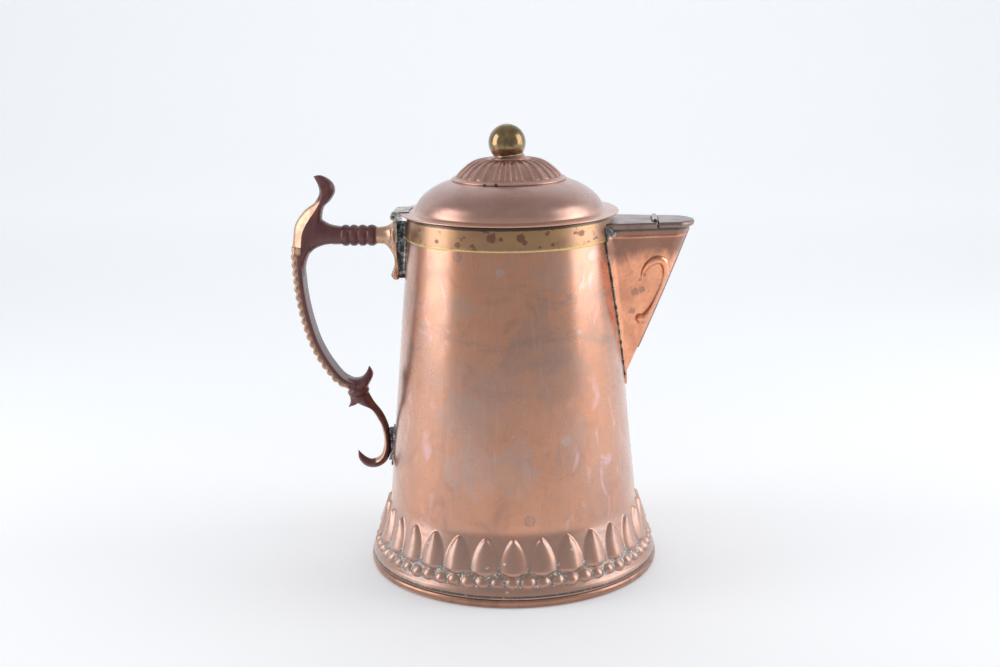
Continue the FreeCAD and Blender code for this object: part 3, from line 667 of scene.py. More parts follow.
def side_turn(turn):
    """Angle folded to the range -pi to pi."""
    return (turn + math.pi) % tau - math.pi


def grip_parts():
    """Flat inner face with a twisted rope along the back."""
    line = curve(GRIP_LINE, 260)
    along = np.gradient(line, axis=0)
    along /= np.linalg.norm(along, axis=1)[:, None]
    out = np.stack([along[:, 1], -along[:, 0]], -1)
    run = np.r_[0, np.cumsum(np.linalg.norm(np.diff(line, axis=0), axis=1))]
    bar = superellipse(6.0, 40) * [0.38, 1.0] + [-0.52, 0.0]
    thick = np.interp(run, [0, 20, run[-1]], [4.4, 4.1, 3.7])
    parts = []
    for shape, fade in ((bar, 0.0), (superellipse(2.0, 72), 1.0)):
        turn = np.linspace(0, tau, len(shape), endpoint=False)
        if fade:
            phase = run[:, None] / ROPE_PITCH - 0.5 * np.sin(turn)[None, :]
            ends = smoothstep(run, 1.0, 7.0) * smoothstep(run, run[-1] - 3.0, run[-1] - 14.0)
            stud = 0.62 + 0.38 * np.cos(2.4 * (abs(side_turn(turn)) - 0.95))
            lump = (abs(np.sin(math.pi * phase)) ** 0.8 * stud - 0.5) * 1.9 * ends[:, None]
            face = np.clip(np.cos(turn) + 0.85, 0, 1)
            n = 0.16 * thick[:, None] + (0.76 * thick[:, None] + lump * face) * shape[:, 0]
            y = (7.4 + lump * face) * shape[:, 1]
        else:
            n = thick[:, None] * shape[:, 0]
            y = 8.1 * shape[:, 1] + 0 * n
        flat = line[:, None] + n[..., None] * out[:, None]
        parts.append(capped(np.stack([flat[..., 0], y, flat[..., 1]], -1)))
    return parts


def ring_stack():
    """Turned knot between the grip and the lower scroll, leaning a little."""
    outline = [(-7.5, 5.6), (-4.6, 6.4), (-3.4, 6.9), (-2.5, 6.0), (-1.9, 7.0), (-0.6, 7.5),
               (0.9, 7.4), (1.9, 6.8), (2.5, 5.9), (3.4, 6.6), (5.2, 6.4), (8.0, 5.0)]
    turn = np.linspace(0, tau, TURN_SIDES, endpoint=False)
    smooth = curve(outline, 40)
    lean = math.radians(11.0)
    r, h = smooth[:, 1][:, None], smooth[:, 0][:, None]
    across, up = r * np.cos(turn), h + 0 * turn
    return capped(np.stack([KNOT_X + across * math.cos(lean) - up * math.sin(lean),
                            r * 1.04 * np.sin(turn),
                            KNOT_Z + across * math.sin(lean) + up * math.cos(lean)], -1))


def voxelled(obj, size, rounds):
    """The mesh fused into one skin, then relaxed a little, as a casting is."""
    remesh = obj.modifiers.new("fuse", "REMESH")
    remesh.mode = "VOXEL"
    remesh.voxel_size = size * MM
    graph = bpy.context.evaluated_depsgraph_get()
    skin = bpy.data.meshes.new_from_object(obj.evaluated_get(graph))
    obj.modifiers.clear()
    old = obj.data
    obj.data = skin
    bpy.data.meshes.remove(old)
    co = np.zeros(len(skin.vertices) * 3, np.float32)
    skin.vertices.foreach_get("co", co)
    co = co.reshape(-1, 3).astype(float)
    ends = np.zeros(len(skin.edges) * 2, np.int32)
    skin.edges.foreach_get("vertices", ends)
    a, b = ends.reshape(-1, 2).T
    degree = np.bincount(ends, minlength=len(co))[:, None]
    for step in range(rounds * 2):
        total = np.zeros_like(co)
        for axis in range(3):
            total[:, axis] = (np.bincount(a, co[b, axis], len(co))
                              + np.bincount(b, co[a, axis], len(co)))
        co += (0.55 if step % 2 == 0 else -0.40) * (total / degree - co)
    skin.vertices.foreach_set("co", co.astype(np.float32).ravel())
    skin.shade_smooth()
    skin.update()
    return co / MM


def side_of(points, path):
    """Distance of (x, z) points from a path, positive to the right of its direction."""
    path = np.asarray(curve(path, 90))
    mid, along = (path[1:] + path[:-1]) / 2, np.diff(path, axis=0)
    along /= np.linalg.norm(along, axis=1)[:, None]
    best, sign = np.full(len(points), 1e9), np.zeros(len(points))
    for m, d in zip(mid, along):
        gap = points - m
        far = np.linalg.norm(gap, axis=1)
        near = far < best
        best[near] = far[near]
        sign[near] = np.sign(gap[near, 0] * d[1] - gap[near, 1] * d[0])
    return best * sign


def make_handle(material):
    pitch = RING_X[1] - RING_X[0]
    arm = [(-120.0, 6.2), (RING_X[0] - 4.2, 6.15), (RING_X[0] - pitch / 2, 6.0)]
    for i, x in enumerate(RING_X):
        arm += [(x - 1.7, 6.95), (x, 7.25), (x + 1.7, 6.95)]
        if i < 3:
            arm.append(((x + RING_X[i + 1]) / 2, 6.05))
    arm += [(-90.0, 5.95), (-86.0, 5.9), (-82.6, 6.6), (-79.6, 8.3), (-77.9, 10.2),
            (-77.0, 10.3)]
    oval = superellipse(2.4, 40)
    parts = [
        sweep(THUMB_FRONT, SHOULDER_BACK, [0.6, 4.6, 6.6, 7.0, 7.0, 7.2, 7.4, 7.6, 7.4],
              crook_section, 130),
        sweep(ARM_TOP, ARM_LOW, [5.5, 7.0, 6.9, 6.5, 6.1], superellipse(2.6, 40), 40),
        turned_x(curve(arm, 130), ARM_Z),
        ring_stack(),
        sweep(HORN_TOP, HORN_FRONT, [7.2, 7.0, 6.4, 4.2, 0.5], superellipse(2.3, 40), 50),
        sweep(CLAW_BACK, CLAW_FRONT, [6.0, 5.4, 4.2, 0.5], oval, 40),
        sweep(SCROLL_INNER, SCROLL_OUTER, [6.2, 5.2, 5.0, 5.0, 5.2, 5.2, 4.8, 3.6, 0.6],
              superellipse(1.45, 44), 130),
        sweep([(-86.0, 222.0), (-81.2, 216.6), (-78.9, 212.0), (-78.3, 206.0), (-79.9, 201.4),
               (-80.9, 198.6), (-79.2, 195.6)],
              [(-75.5, 222.0), (-75.5, 216.6), (-75.5, 212.0), (-75.5, 206.0), (-75.5, 201.4),
               (-75.5, 198.6), (-75.6, 195.6)],
              [6.0, 4.4, 3.5, 2.7, 3.3, 3.5, 1.6], superellipse(2.3, 36), 60),
    ] + grip_parts()
    plate = []
    for z, half in ((199.0, 2.6), (206.0, 3.4), (212.0, 7.4), (216.0, 9.0), (235.6, 9.0),
                    (236.3, 8.2)):
        plate.append([(x, y * half, z) for x in (-77.6, -75.45) for y in (-1, 1)])
    plate = np.array(plate)[:, [0, 1, 3, 2]]
    faces = quads(6, 4, False, True).tolist() + [[0, 1, 2, 3], [20, 21, 22, 23]]
    parts.append((plate.reshape(-1, 3), faces))
    handle = merged("handle_casting", parts)
    co = voxelled(handle, CASTING_VOXEL, 2)
    flat = co[:, [0, 2]]
    x, z = flat.T
    normals = np.zeros(len(co) * 3, np.float32)
    handle.data.vertices.foreach_get("normal", normals)
    nx = normals[::3]
    shoulder = smoothstep(side_of(flat, RIDGE), -0.15, 0.35) * (x < -124)
    shoulder *= smoothstep(z, 211.0, 217.0)
    shoulder *= 1 - 0.75 * smoothstep(z, 246.0, 252.0)
    near_pot = smoothstep(x, -91.5, -87.5) * (z > 190)
    scroll = smoothstep(-nx, 0.15, 0.5) * smoothstep(z, 101.0, 92.0) * smoothstep(x, -101, -96)
    outer = side_of(flat, GRIP_LINE)
    rope = smoothstep(outer, -1.3, -0.3) * smoothstep(z, 219.0, 214.0) * (z > 117)
    rope *= (x < -112)
    wear = np.clip(np.maximum.reduce([shoulder, near_pot, scroll * (z < 104), 0.6 * rope]),
                   0, 1)
    paint_mask(handle, GOLD_MASK, wear)
    return fit(handle, "pot", "handle_bronze", material, "handle")


# ---------------------------------------------------------------- spout
SPOUT_TIP_Z, SPOUT_TOP_Z = 122.0, 235.2
PLATE_UNDER_Z, SPLIT_X, FLAP_X = 235.5, 98.0, 98.95
SKIRT_INSIDE, COVER_MID_Z = 0.45, 236.0
SPOUT_SEAM_HALF, SPOUT_NOSE_HALF = 26.5, 13.8
SPOUT_FOOT_Z, FRONT_FOOT_X, FRONT_REACH, FRONT_BOW = 127.3, 76.7, 44.3, 4.0
SPOUT_SHEET = 0.8
ORNAMENT = [(88.1, 199.8), (89.9, 204.6), (93.4, 208.8), (98.1, 210.9), (102.2, 209.4),
            (104.0, 205.8), (104.4, 199.7), (102.4, 191.9), (99.5, 185.2), (96.0, 178.0),
            (92.5, 172.5), (90.2, 170.0), (87.5, 170.1)]
ORNAMENT_HALF = [0.7, 1.7, 2.3, 2.6, 2.5, 2.4, 2.3, 2.2, 2.1, 2.0, 2.1, 2.7, 3.0]


def spout_rise(z):
    """Share of the spout's height, a little above 0 at its foot."""
    return np.clip((z - SPOUT_TIP_Z) / (SPOUT_TOP_Z - SPOUT_TIP_Z), 1e-5, None)


def seam_y(z):
    """Half width of the spout where it meets the body."""
    return SPOUT_SEAM_HALF * spout_rise(z) ** 0.75


def nose_y(z):
    """Half width of the spout where its nose begins."""
    return SPOUT_NOSE_HALF * spout_rise(z) ** 0.9


def front_x(z):
    """How far forward the spout reaches at a height."""
    rise = (z - SPOUT_FOOT_Z) / (SPOUT_TOP_Z - SPOUT_FOOT_Z)
    return FRONT_FOOT_X + FRONT_REACH * rise + FRONT_BOW * rise * (1.0 - rise)


def arc_points(nose_at, half, tip, count):
    """Points from the side of the nose to its tip, on the circle through both."""
    centre = (tip**2 - nose_at**2 - half**2) / (2 * (tip - nose_at))
    radius = tip - centre
    turn = math.atan2(half, nose_at - centre) * np.linspace(1, 0, count)
    return np.stack([centre + radius * np.cos(turn), radius * np.sin(turn)], -1)


def spout_half(z, offset):
    """Half of the spout's section at a height: seam, crease, flat side, nose."""
    seam = np.array([math.sqrt(cone_r(z) ** 2 - seam_y(z) ** 2) - 0.2, seam_y(z) + 0.2])
    y = 0.8 * seam_y(z)
    crease = np.array([math.sqrt(cone_r(z) ** 2 - y * y) + 3.6 * spout_rise(z) ** 0.25, y])
    half, tip = nose_y(z) + offset, front_x(z) + offset
    side = np.array([front_x(z) - 0.55 * nose_y(z), half])
    seam = seam + [0.3 * offset, 1.2 * offset]
    crease = crease + [0.3 * offset, offset]
    first = seam + (crease - seam) * np.linspace(0, 1, 12)[:-1, None]
    flat = crease + (side - crease) * np.linspace(0, 1, 84)[:-1, None]
    return np.concatenate([first, flat, arc_points(side[0], side[1], tip, 16)])


def ornament_height(x, z):
    """Height of the scroll ornament and fold, and how deep in a crevice a point is."""
    path, half = curve(ORNAMENT, 120), np.interp(np.linspace(0, 1, 120),
                                                 np.linspace(0, 1, 13), ORNAMENT_HALF)
    height = np.zeros(x.shape)
    crevice = np.zeros(x.shape)
    for (px, pz), h in zip(path, half):
        far = np.hypot(x - px, z - pz) / h
        height = np.maximum(height, (0.5 + 0.68 * h) * np.clip(1 - far**2.2, 0, 1) ** 0.55)
        crevice = np.maximum(crevice, np.clip(1 - abs(far - 1.06) / 0.26, 0, 1))
    crevice *= height < 0.3
    fold = np.exp(-((z - 226.8) / 0.75) ** 2) * smoothstep(x, 74.0, 80.0)
    return height - 0.2 * crevice + 0.3 * fold, crevice


def thick(name, over, under, merge=False):
    """Closed sheet between two grids of points."""
    rows, columns = over.shape[:2]
    n = rows * columns
    faces = quads(rows, columns).tolist()
    faces += (quads(rows, columns)[:, ::-1] + n).tolist()
    at = np.arange(n).reshape(rows, columns)
    rim = np.r_[at[0, :-1], at[:-1, -1], at[-1, :0:-1], at[:0:-1, 0]]
    for a, b in zip(rim, np.roll(rim, -1)):
        faces.append([a, b, b + n, a + n])
    points = np.concatenate([over.reshape(-1, 3), under.reshape(-1, 3)])
    obj = add_mesh(name, points, [[int(v) for v in f] for f in faces])
    if merge:
        bm = bmesh.new()
        bm.from_mesh(obj.data)
        bmesh.ops.remove_doubles(bm, verts=bm.verts, dist=0.004 * MM)
        bmesh.ops.dissolve_degenerate(bm, edges=bm.edges, dist=0.002 * MM)
        bmesh.ops.recalc_face_normals(bm, faces=bm.faces)
        bm.to_mesh(obj.data)
        bm.free()
        obj.data.shade_smooth()
    return obj


def make_spout(material):
    levels = np.r_[np.linspace(123.0, 166.0, 60), np.linspace(166.0, 214.0, 110)[1:],
                   np.linspace(214.0, SPOUT_TOP_Z, 34)[1:]]
    over, under = [], []
    for z in levels:
        for rows, offset in ((over, 0.0), (under, -SPOUT_SHEET)):
            use = max(offset, -0.35 * nose_y(z))
            half = spout_half(z, use)
            whole = np.concatenate([half * [1, -1], half[-2::-1]])
            for _ in range(2):
                whole[1:-1] = (whole[:-2] + 2 * whole[1:-1] + whole[2:]) / 4
            rows.append(np.column_stack([whole, np.full(len(whole), z)]))
    over, under = np.array(over), np.array(under)
    height, crevice = ornament_height(over[..., 0], over[..., 2])
    dents = lumps(over, 26.0, 21, 0.16) + lumps(over, 9.0, 22, 0.03)
    dents *= smoothstep(over[..., 2], 135.0, 165.0)
    lipped = 0.55 * smoothstep(over[..., 2], 228.6, 229.8)
    away = np.sign(over[..., 1]) * np.minimum(abs(over[..., 1]) / 3.0, 1.0)
    flat_side = np.zeros(over.shape[1])
    flat_side[14:106] = np.clip((106 - np.arange(14, 106)) / 4.0, 0, 1)
    flat_side = np.maximum(flat_side, flat_side[::-1])
    over[..., 1] += away * (height * flat_side + dents + lipped)
    under[..., 1] += away * (0.8 * height * flat_side + dents)
    spout = thick("spout_sheet", over, under)
    marks = np.concatenate([(crevice * flat_side).ravel(), np.zeros(under.shape[0]
                                                                    * under.shape[1])])
    paint_mask(spout, CREVICE_MASK, marks)
    return fit(spout, "pot", "spout_copper", material, "spout_shell")


def cover_line(x, offset):
    """Half width of the cover's straight side at an x."""
    z = SPOUT_TOP_Z
    y = 0.8 * seam_y(z)
    crease_x = math.sqrt(cone_r(z) ** 2 - y * y) + 3.6
    nose_at = front_x(z) - 0.55 * nose_y(z)
    slope = (y - nose_y(z)) / (nose_at - crease_x)
    return y - slope * (x - crease_x) + offset


def across_layers(skirt):
    """Points across a cover: (offset, height, share of the half width), left to right."""
    side = [(o, z, 1.0) for o, z in skirt]
    top = [(skirt[-1][0], skirt[-1][1], s) for s in np.linspace(0.94, 0, 9)]
    half = side + top
    return [(o, z, -s) for o, z, s in half] + [(o, z, s) for o, z, s in half[-2::-1]]


def make_plate(material):
    skirt = [(0.75, 232.35), (1.0, 232.3), (1.1, 233.3), (1.1, 234.1), (1.45, 234.35),
             (1.8, 234.8), (1.95, 235.3), (1.85, 235.8), (1.5, 236.2), (0.9, 236.45),
             (0.1, 236.5), (-1.5, 236.5)]
    layers = across_layers(skirt)
    steps = 40
    over, under = np.zeros((steps, len(layers), 3)), np.zeros((steps, len(layers), 3))
    for k, (offset, z, share) in enumerate(layers):
        for grid, off, level in ((over, offset, z), (under, min(offset, SKIRT_INSIDE),
                                                     min(z, PLATE_UNDER_Z))):
            start = 66.0
            for _ in range(12):
                y = share * cover_line(start, off)
                start = math.sqrt((cone_r(level) + 1.36) ** 2 - y * y)
            end = SPLIT_X if abs(share) * cover_line(SPLIT_X, off) > 13.3 else 94.4
            x = np.linspace(start, end, steps)
            grid[:, k, 0] = x
            grid[:, k, 1] = [share * cover_line(v, off) for v in x]
            grid[:, k, 2] = level
    for grid in (over, under):
        grid[..., 2] += lumps(grid, 30.0, 31, 0.09) * (abs(grid[..., 2] - COVER_MID_Z) < 0.6)
    plate = thick("cover_plate", over, under, True)
    return fit(plate, "pot", "cover_copper", material, "spout_cover_plate")


def make_flap(material):
    skirt = [(0.7, 232.75), (1.0, 232.7), (1.45, 233.1), (1.85, 233.7), (2.05, 234.4),
             (2.0, 235.1), (1.7, 235.8), (1.2, 236.25), (0.5, 236.48), (-0.4, 236.5),
             (-1.6, 236.5)]
    layers = across_layers(skirt)
    z_top = SPOUT_TOP_Z
    nose_at = front_x(z_top) - 0.55 * nose_y(z_top)
    straight, bend = 16, 34
    over, under = (np.zeros((straight + bend, len(layers), 3)) for _ in range(2))
    for k, (offset, z, share) in enumerate(layers):
        for grid, off, level in ((over, offset, z), (under, min(offset, SKIRT_INSIDE),
                                                     min(z, PLATE_UNDER_Z))):
            x = np.linspace(FLAP_X, nose_at, straight + 1)[:-1]
            line = np.array([(v, cover_line(v, off)) for v in x])
            nose = arc_points(nose_at, nose_y(z_top) + off, front_x(z_top) + off, bend)
            path = np.concatenate([line, nose])
            grid[:, k, 0] = path[:, 0]
            grid[:, k, 1] = share * path[:, 1]
            grid[:, k, 2] = level
    for grid in (over, under):
        grid[..., 2] += lumps(grid, 24.0, 33, 0.09) * (abs(grid[..., 2] - COVER_MID_Z) < 0.6)
    flap = thick("flap_sheet", over, under, True)
    return fit(flap, "flap", "cover_copper", material, "spout_flap")


# ---------------------------------------------------------------- solder
SEAM_LOW, SEAM_HIGH, CORNER_Z = 127.5, 226.0, 231.0
FLANGE_LOW, FLANGE_HIGH = 200.0, 236.0
SCROLL_LOW, SCROLL_HIGH = 66.0, 90.0


def seam_path(side, low, high, count, lift=0.35):
    """Line where one side of the spout meets the body."""
    z = np.linspace(low, high, count)
    y = side * (seam_y(z) + 0.35)
    r = cone_r(z) + lift + 1.25 * smoothstep(z, 225.0, 226.2)
    return np.stack([np.sqrt(r**2 - y**2), y, z], -1)


def bead(path, size, seed, uneven=0.4):
    """Uneven run of solder along a path."""
    rng = np.random.default_rng(seed)
    wave = sum(rng.uniform(0.3, 1.0) * np.sin(np.linspace(0, rng.uniform(20, 160), len(path))
                                              + rng.uniform(0, tau)) for _ in range(5)) / 2.2
    radii = size * np.clip(1 + uneven * wave, 0.35, 1.8)
    radii[:3] *= (0.3, 0.6, 0.85)
    radii[-3:] *= (0.85, 0.6, 0.3)
    points, faces = tube(path, radii, 10)
    return points + lumps(points, 1.4, seed, 0.12)[:, None], faces


def blob(centre, size, seed):
    """Lump of solder."""
    bm = bmesh.new()
    bmesh.ops.create_icosphere(bm, subdivisions=4, radius=1.0)
    points = np.array([v.co[:] for v in bm.verts])
    faces = [[v.index for v in f.verts] for f in bm.faces]
    bm.free()
    points *= (1 + lumps(points, 1.3, seed, 0.22))[:, None]
    return points * np.asarray(size) + np.asarray(centre), faces


def make_solder(seam, grey):
    for side, name in ((1, "left"), (-1, "right")):
        parts = [bead(seam_path(side, SEAM_LOW, SEAM_HIGH, 240), 0.62, 40 + side, 0.45)]
        fit(merged("spout_seam_" + name, parts), "pot", "solder", seam, "spout_solder_" + name)
        y = seam_y(CORNER_Z)
        r = cone_r(CORNER_Z) + 1.4
        corner = (math.sqrt(r * r - y * y), side * y)
        lumpy = [bead(seam_path(side, 224.5, 234.4, 30, 0.5), 0.75, 50 + side, 0.35),
                 blob((corner[0] + 2.2, corner[1] - side * 0.2, 231.4), (2.6, 1.3, 1.9), 3),
                 blob((corner[0] + 4.6, corner[1] - side * 1.0, 229.6), (1.9, 0.9, 2.0), 4),
                 blob((corner[0] + 1.0, corner[1], 228.2), (1.5, 1.1, 2.2), 5)]
        blobs = merged("spout_corner_" + name, lumpy)
        fit(blobs, "pot", "solder", grey)


def make_handle_solder(grey):
    parts = []
    for side in (-1, 1):
        z = np.linspace(FLANGE_LOW, FLANGE_HIGH, 60)
        y = side * np.interp(z, [200, 206, 214, 236], [2.6, 3.2, 8.0, 8.2])
        x = -np.sqrt((cone_r(z) + 0.9 + 1.3 * (z > 225.5)) ** 2 - y**2)
        parts.append(bead(np.stack([x, y, z], -1), 1.05, 60 + side, 0.35))
    fit(merged("flange_solder", parts), "pot", "solder", grey)
    lower = []
    for side in (-1, 1):
        z = np.linspace(SCROLL_LOW, SCROLL_HIGH, 40)
        y = side * np.full(40, 3.5)
        x = -np.sqrt((cone_r(z) + 0.5) ** 2 - y**2)
        lower.append(bead(np.stack([x, y, z], -1), 0.9, 70 + side, 0.4))
    lower.append(blob((-cone_r(90.5) - 0.7, 0, 90.6), (1.3, 3.8, 2.4), 8))
    lower.append(blob((-cone_r(SCROLL_LOW) - 0.6, 0, 65.8), (1.1, 3.4, 2.0), 9))
    fit(merged("scroll_solder", lower), "pot", "solder", grey)


# ---------------------------------------------------------------- finishes
def body_finish():
    f = Finish("body_copper_aged", Metallic=1.0, Coat_Weight=1.0, Coat_Roughness=0.24,
               Coat_IOR=2.0)
    zones = f.noise(70.0, 3.0, (1, 1, 0.35), 1.0, warp=0.5)
    clouds = f.noise(24.0, 4.0, (1, 1, 0.8), 2.0, 0.6, 0.7)
    colour = f.mix(f.step(zones, 0.38, 0.62), (0.58, 0.25, 0.135), (0.60, 0.225, 0.095))
    colour = f.mix(f.step(clouds, 0.50, 0.70, 0.0, 0.75), colour, (0.40, 0.165, 0.085))
    dull = f.noise(38.0, 3.0, (1, 1, 0.6), 6.0, 0.6)
    colour = f.mix(f.step(dull, 0.52, 0.68, 0.0, 0.6), colour, (0.48, 0.255, 0.185))
    mottle = f.noise(4.5, 4.0, (1, 1, 0.8), 9.0, 0.7)
    for x, z, radius, strength, shade in (
            (24.0, 168.0, 26.0, 0.6, (0.36, 0.20, 0.14)),
            (36.0, 146.0, 20.0, 0.5, (0.38, 0.21, 0.15)),
            (8.0, 88.0, 18.0, 0.5, (0.42, 0.28, 0.24)),
            (-28.0, 118.0, 19.0, 0.55, (0.44, 0.28, 0.22)),
            (-22.0, 84.0, 20.0, 0.5, (0.47, 0.325, 0.29)),
            (-27.0, 190.0, 9.0, 0.5, (0.42, 0.27, 0.2)),
            (32.0, 212.0, 14.0, 0.45, (0.42, 0.27, 0.2))):
        soft = f.spot(x, z, radius, 0.9)
        soft = f.times(soft, f.step(mottle, 0.30, 0.62, 0.35, strength))
        colour = f.mix(soft, colour, shade)
    wipe = f.noise(13.0, 4.0, (0.3, 0.3, 1.3), 13.0, 0.6)
    wiped = f.times(f.step(wipe, 0.52, 0.70), f.times(f.step(f.z, 120.0, 165.0), f.step(f.z, 222.0, 200.0)))
    colour = f.mix(f.times(wiped, 0.6), colour, (0.34, 0.17, 0.11))
    colour = f.mix(f.step(mottle, 0.50, 0.70, 0.0, 0.30), colour, (0.36, 0.19, 0.13))
    warm = f.noise(30.0, 2.0, (1, 1, 0.5), 14.0)
    glow = f.times(f.step(warm, 0.50, 0.62), f.step(f.z, 130.0, 60.0, 0.25, 0.8))
    colour = f.mix(f.times(glow, 0.6), colour, (0.70, 0.27, 0.115))
    film = f.noise(11.0, 2.0, (1, 1, 0.55), 4.0, warp=0.6)
    where = f.plus(f.noise(33.0, 2.0, (1, 1, 0.5), 5.0),
                   f.step(f.math("ABSOLUTE", f.x), 46.0, 26.0, 0.06, -0.25))
    film_share = f.times(f.step(film, 0.56, 0.70), f.step(where, 0.48, 0.62))
    colour = f.mix(f.times(film_share, 0.35), colour, (0.86, 0.50, 0.56))
    other = f.times(f.step(film, 0.66, 0.76), f.step(where, 0.52, 0.62))
    colour = f.mix(f.times(other, 0.3), colour, (0.62, 0.50, 0.78))
    runs = f.noise(4.0, 3.0, (1, 1, 0.05), 3.0, 0.6)
    colour = f.mix(f.step(runs, 0.54, 0.76, 0.0, 0.25), colour, (0.46, 0.29, 0.23))
    colour = f.mix(f.step(runs, 0.44, 0.28, 0.0, 0.10), colour, (0.84, 0.52, 0.38))
    specks = f.cells(6.0, 4.0, (1, 1, 0.7))
    speck = f.times(f.step(specks, 0.10, 0.05), f.step(mottle, 0.50, 0.58))
    colour = f.mix(f.times(speck, 0.65), colour, (0.50, 0.46, 0.44))
    for x, z, radius in ((-2.5, 213.0, 3.0), (47.0, 172.0, 1.9), (45.0, 186.0, 1.5),
                         (39.0, 103.0, 3.6), (-36.0, 174.0, 1.6), (56.0, 219.0, 3.8)):
        colour = f.mix(f.times(f.spot(x, z, radius), 0.45), colour, (0.46, 0.41, 0.38))
    for x, z, radius in ((16.0, 53.5, 4.4), (-29.5, 222.0, 3.6), (-46.0, 217.0, 2.2),
                         (41.0, 196.0, 2.1)):
        ring = f.math("SUBTRACT", f.spot(x, z, radius), f.times(f.spot(x, z, radius * 0.7), 0.55))
        colour = f.mix(f.times(ring, 0.75), colour, (0.33, 0.17, 0.14))
    foot = f.times(f.step(f.z, 50.0, 38.0), f.step(mottle, 0.30, 0.62, 0.55, 1.0))
    colour = f.mix(f.times(foot, 0.75), colour, (0.41, 0.255, 0.205))
    crevice = f.mask(CREVICE_MASK)
    crust = f.noise(2.2, 4.0, seed=8.0, rough=0.65)
    dirt = f.times(crevice, f.step(crust, 0.36, 0.52))
    colour = f.mix(f.times(dirt, 0.85), colour, (0.15, 0.13, 0.095))
    chalk = f.times(f.step(crevice, 0.25, 0.9), f.step(crust, 0.54, 0.60))
    band = f.times(f.step(f.z, 9.0, 12.0), f.step(f.z, 40.0, 33.0))
    drops = f.times(f.times(f.step(f.cells(7.0, 7.0), 0.20, 0.13), band),
                    f.step(f.noise(20.0, 1.0, seed=3.3), 0.50, 0.58))
    chalk = f.math("MAXIMUM", chalk, f.times(drops, f.step(crust, 0.44, 0.52)))
    colour = f.mix(chalk, colour, (0.78, 0.80, 0.77))
    seam = f.times(f.step(f.z, 8.4, 7.8), f.step(crust, 0.34, 0.46))
    colour = f.mix(f.times(seam, 0.92), colour, (0.025, 0.035, 0.03))
    rubbed = f.noise(1.0, 2.0, (0.1, 0.1, 1.0), 11.0)
    fine = f.noise(0.55, 3.0, seed=12.0)
    roughness = f.plus(f.step(clouds, 0.3, 0.75, 0.25, 0.36), f.step(mottle, 0.5, 0.75, 0.0, 0.09))
    roughness = f.plus(roughness, f.times(f.math("MAXIMUM", chalk, dirt), 0.4))
    roughness = f.plus(roughness, f.times(foot, 0.13))
    height = f.plus(f.times(fine, 0.6), rubbed)
    normal = f.bump(height, 0.012)
    normal = f.bump(chalk, 0.25, normal)
    keep = f.math("SUBTRACT", 1.0, f.times(f.math("MAXIMUM", chalk, dirt), 0.85))
    return f.done(colour, roughness, normal, keep)


def lid_finish():
    f = Finish("lid_copper_satin", Metallic=1.0, Coat_Weight=0.8, Coat_Roughness=0.3, Coat_IOR=1.8)
    clouds = f.noise(20.0, 4.0, seed=1.5, rough=0.6, warp=0.4)
    fine = f.noise(2.5, 4.0, seed=2.5, rough=0.65)
    colour = f.mix(f.step(clouds, 0.36, 0.66), (0.54, 0.305, 0.245), (0.46, 0.24, 0.185))
    colour = f.mix(f.step(fine, 0.48, 0.72, 0.0, 0.35), colour, (0.42, 0.26, 0.215))
    specks = f.cells(7.0, 2.0)
    speck = f.times(f.step(specks, 0.075, 0.04), f.step(clouds, 0.44, 0.5))
    colour = f.mix(f.times(speck, 0.8), colour, (0.13, 0.10, 0.09))
    low = f.step(f.z, 247.5, 244.0)
    colour = f.mix(f.times(low, 0.45), colour, (0.80, 0.44, 0.31))
    edge = f.times(f.step(f.z, 243.0, 242.5), f.step(f.z, 241.5, 241.9))
    colour = f.mix(f.times(edge, 0.5), colour, (0.85, 0.47, 0.33))
    roughness = f.plus(f.step(clouds, 0.3, 0.7, 0.27, 0.36), f.step(fine, 0.5, 0.8, 0.0, 0.10))
    grain = f.noise(0.6, 3.0, seed=3.5)
    return f.done(colour, roughness, f.bump(grain, 0.04), 1.0)


def crown_finish():
    f = Finish("crown_copper_brown", Metallic=1.0, Coat_Weight=0.5, Coat_Roughness=0.32)
    clouds = f.noise(9.0, 4.0, seed=4.5, rough=0.6)
    colour = f.mix(f.step(clouds, 0.36, 0.66), (0.60, 0.345, 0.28), (0.48, 0.26, 0.205))
    fine = f.noise(1.6, 4.0, seed=5.5, rough=0.65)
    colour = f.mix(f.step(fine, 0.5, 0.72, 0.0, 0.4), colour, (0.33, 0.19, 0.15))
    lip = f.times(f.step(f.z, 265.4, 265.0), f.step(f.z, 263.2, 264.2))
    colour = f.mix(f.times(lip, 0.6), colour, (0.72, 0.46, 0.38))
    groove = f.mask(CREVICE_MASK)
    # Dark brown along each flute groove: partly grime, partly painted shade in the grooves.
    colour = f.mix(f.times(f.step(groove, 0.0, 0.5), 0.7), colour, (0.16, 0.085, 0.065))
    grime = f.times(f.step(groove, 0.55, 0.95), f.step(fine, 0.30, 0.50))
    colour = f.mix(f.times(grime, 0.9), colour, (0.045, 0.06, 0.05))
    marks = f.math("MAXIMUM", f.spot(-13.5, 263.9, 1.0, 0.5), f.spot(-6.0, 264.0, 1.3, 0.5))
    colour = f.mix(f.times(marks, 0.9), colour, (0.03, 0.045, 0.04))
    roughness = f.plus(f.step(clouds, 0.3, 0.7, 0.30, 0.42), f.times(grime, 0.3))
    return f.done(colour, roughness, f.bump(fine, 0.06),
                  f.math("SUBTRACT", 1.0, f.times(grime, 0.8)))


